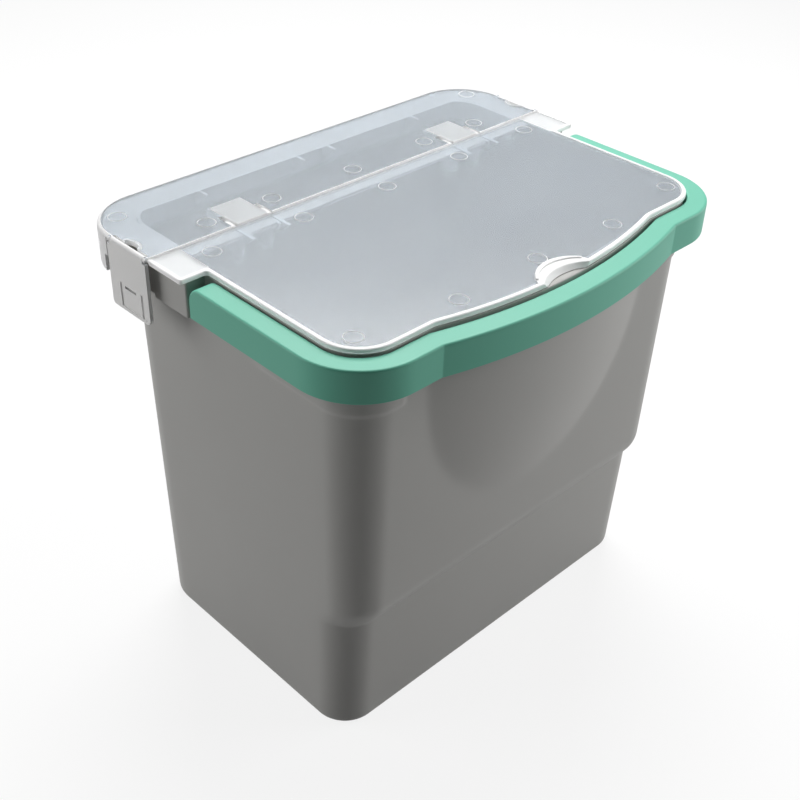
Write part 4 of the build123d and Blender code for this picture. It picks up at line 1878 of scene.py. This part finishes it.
def latch_mesh():
    """The right latch as one skin."""
    loop = rounded_loop(
        [
            (latch_front, latch_bottom, latch_corner),
            (latch_rear, latch_bottom, latch_rear_corner),
            (latch_rear, latch_axis_z, latch_top_corner),
            (latch_front, latch_axis_z, latch_top_corner),
        ]
    )
    outline = [(p.x, p.y) for p in loop]
    panel = side_prism("panel", outline, latch_inner, latch_outer, latch_edge)
    centre = (latch_axis_x, latch_middle, latch_axis_z)
    barrel = rod("barrel", centre, latch_barrel, barrel_rear - barrel_front, (0, 1, 0), trim_edge)
    pin = rod("pin", centre, latch_pin, latch_pin_length, (0, 1, 0), 0.0, round_pin_segments)
    half_slot = slot_length / 2
    hook = box_between(
        "hook",
        (band_half_width + hook_gap, latch_middle - half_slot, hook_top - hook_height),
        (latch_inner + face_depth, latch_middle + half_slot, hook_top),
        trim_edge,
    )
    trimmed = carve("latch_panel", panel, cut=latch_cuts())
    return carve("latch_skin", trimmed, [barrel, pin, hook])


right_latch_mesh = latch_mesh()
left_latch_mesh = mirrored(right_latch_mesh)
soften(left_latch_mesh)
# Each latch is white plastic, and its finish and whiter leaning faces add painted scattered light.
for side, mesh in (("right", right_latch_mesh), ("left", left_latch_mesh)):
    latch = dress(
        "lid_latch_" + side, mesh, latch_white_and_painted_light, side + "_latch", ["latch_" + side]
    )
    paint_scattered_light(mesh, 0)
    flat_facets(latch)

# %% [markdown]
# Where pins push the moulding out of the tool they leave shallow round marks. They are
# many and alike, so Geometry Nodes place them: a thin ring on every point of a small
# mesh. The rings sit half sunk in the surface, and the white edge finish paints the light
# they catch as fine white lines. A bump pattern could draw them too, but it would be lost
# in the exported meshes.

# %% Pin marks
mark_radius = 0.0050
mark_line = 0.00022
ring_points = 48
line_points = 8
flap_marks = [(0.0, -0.0807), (0.0, 0.0302)]
for x, y in ((0.0597, -0.0824), (0.1203, -0.0737), (0.0600, 0.0317), (0.1197, 0.0331)):
    flap_marks += [(x, y), (-x, y)]
lid_marks = [(0.0, 0.0590), (-0.1345, 0.0960), (0.1345, 0.0960), (-0.0590, 0.0600)]
lid_marks += [(0.0590, 0.0600), (-0.1030, 0.0600), (0.1030, 0.0600)]


def marks_tree():
    """A thin ring on every point."""
    tree, start, end = geometry_tree(
        "rings_on_points",
        "Rings",
        Points="Geometry",
        Ring_Radius="Float",
        Line_Radius="Float",
        Finish="Material",
    )
    circle = node(tree, "GeometryNodeCurvePrimitiveCircle", Resolution=ring_points)
    section = node(tree, "GeometryNodeCurvePrimitiveCircle", Resolution=line_points)
    tube = node(tree, "GeometryNodeCurveToMesh")
    place = node(tree, "GeometryNodeInstanceOnPoints")
    real = node(tree, "GeometryNodeRealizeInstances")
    paint = node(tree, "GeometryNodeSetMaterial")
    wire(
        tree,
        (start, "Ring Radius", circle, "Radius"),
        (start, "Line Radius", section, "Radius"),
        (circle, "Curve", tube, "Curve"),
        (section, "Curve", tube, "Profile Curve"),
        (start, "Points", place, "Points"),
        (tube, "Mesh", place, "Instance"),
        (place, "Instances", real, "Geometry"),
        (real, "Geometry", paint, "Geometry"),
        (start, "Finish", paint, "Material"),
        (paint, "Geometry", end, "Rings"),
    )
    return tree


rings_on_points = marks_tree()
for name, marks, body, level in (
    ("flap_marks", flap_marks, "flap", lid_top - flap_recess - hair),
    ("lid_marks", lid_marks, "lid", lid_top - hair),
):
    points = bpy.data.meshes.new(name + "_points")
    points.from_pydata([(x, y, level) for x, y in marks], [], [])
    values = {"Ring Radius": mark_radius, "Line Radius": mark_line, "Finish": edge_painted_light}
    rings = grown(name, points, rings_on_points, values)
    soften(rings)
    dress(name, rings, edge_painted_light, body)

# %% [markdown]
# ## Floor and light
#
# The floor is near white. Seen by the camera, or in a reflection or through the lid, it
# is lifted towards white by a share of plain emission, and the rest of it keeps the
# soft shadow. Brighter lamps would whiten it too, but they would bleach the bucket.

# %% Floor
floor_reach = 4.0
bounced_tone = 0.34
seen_tone = 0.92
glow_share = 0.84


def floor_finish():
    """A pale floor that reads as white but keeps its shadow."""
    material = bpy.data.materials.new("studio_floor")
    material.use_nodes = True
    tree = material.node_tree
    tree.nodes.clear()
    out = node(tree, "ShaderNodeOutputMaterial")
    matt = node(tree, "ShaderNodeBsdfDiffuse")
    paint, mixed = colour_mix(tree, [bounced_tone] * 3, [seen_tone] * 3)
    glow = node(tree, "ShaderNodeEmission", Strength=1.0)
    path = node(tree, "ShaderNodeLightPath")
    seen, seen_through, share = [node(tree, "ShaderNodeMath") for _ in range(3)]
    seen.operation = seen_through.operation = "MAXIMUM"
    share.operation = "MULTIPLY"
    share.inputs[1].default_value = glow_share
    mix = node(tree, "ShaderNodeMixShader")
    tree.links.new(mixed, matt.inputs["Color"])
    wire(
        tree,
        (path, "Is Camera Ray", paint, "Factor"),
        (path, "Is Camera Ray", seen, 0),
        (path, "Is Glossy Ray", seen, 1),
        (seen, 0, seen_through, 0),
        (path, "Is Transmission Ray", seen_through, 1),
        (seen_through, 0, share, 0),
        (share, 0, mix, 0),
        (matt, 0, mix, 1),
        (glow, 0, mix, 2),
        (mix, 0, out, "Surface"),
    )
    return material


floor_corners = [(-floor_reach, -floor_reach, 0), (floor_reach, -floor_reach, 0)]
floor_corners += [(floor_reach, floor_reach, 0), (-floor_reach, floor_reach, 0)]
floor_mesh = bpy.data.meshes.new("studio_floor")
floor_mesh.from_pydata(floor_corners, [], [(0, 1, 2, 3)])
floor_mesh.materials.append(floor_finish())
floor = link_piece("studio_floor", floor_mesh)
print("floor reaches", floor_reach, "to each side")

# %% [markdown]
# The world is white for the camera and dim for everything else, so most of the light
# comes from the lamps. Two large lights stand to the left rear and the right front, so
# the corner that faces the camera falls dark, as on the real bucket, and one hangs above
# the lid. Large lamps give soft shadows and long, quiet highlights on satin plastic.

# %% World and lamps
world_dim = 0.05
world = bpy.data.worlds.new("studio")
bpy.context.scene.world = world
world.use_nodes = True
world_tree = world.node_tree
world_tree.nodes.clear()
world_out = node(world_tree, "ShaderNodeOutputWorld")
dim = node(world_tree, "ShaderNodeBackground", Strength=world_dim)
bright = node(world_tree, "ShaderNodeBackground", Strength=1.0)
for shade in (dim, bright):
    shade.inputs["Color"].default_value = (1.0, 1.0, 1.0, 1.0)
world_path = node(world_tree, "ShaderNodeLightPath")
world_mix = node(world_tree, "ShaderNodeMixShader")
wire(
    world_tree,
    (world_path, "Is Camera Ray", world_mix, 0),
    (dim, 0, world_mix, 1),
    (bright, 0, world_mix, 2),
    (world_mix, 0, world_out, "Surface"),
)
bpy.context.scene.view_settings.view_transform = "Standard"

aim = Vector((0.0, 0.0, 0.14))


def soft_box(name, place, side, power):
    """A large area light that faces the bucket."""
    data = bpy.data.lights.new(name, "AREA")
    data.shape = "RECTANGLE"
    data.size = data.size_y = side
    data.energy = power
    lamp = bpy.data.objects.new(name, data)
    lamp.location = place
    lamp.rotation_euler = (aim - Vector(place)).to_track_quat("-Z", "Y").to_euler()
    bpy.context.scene.collection.objects.link(lamp)
    return lamp


soft_box("left_rear_box", (-1.20, 1.05, 0.68), 1.1, 12.0)
soft_box("right_front_box", (0.93, -0.66, 0.50), 0.8, 8.6)
soft_box("top_box", (0.55, 0.55, 1.35), 0.9, 25.0)
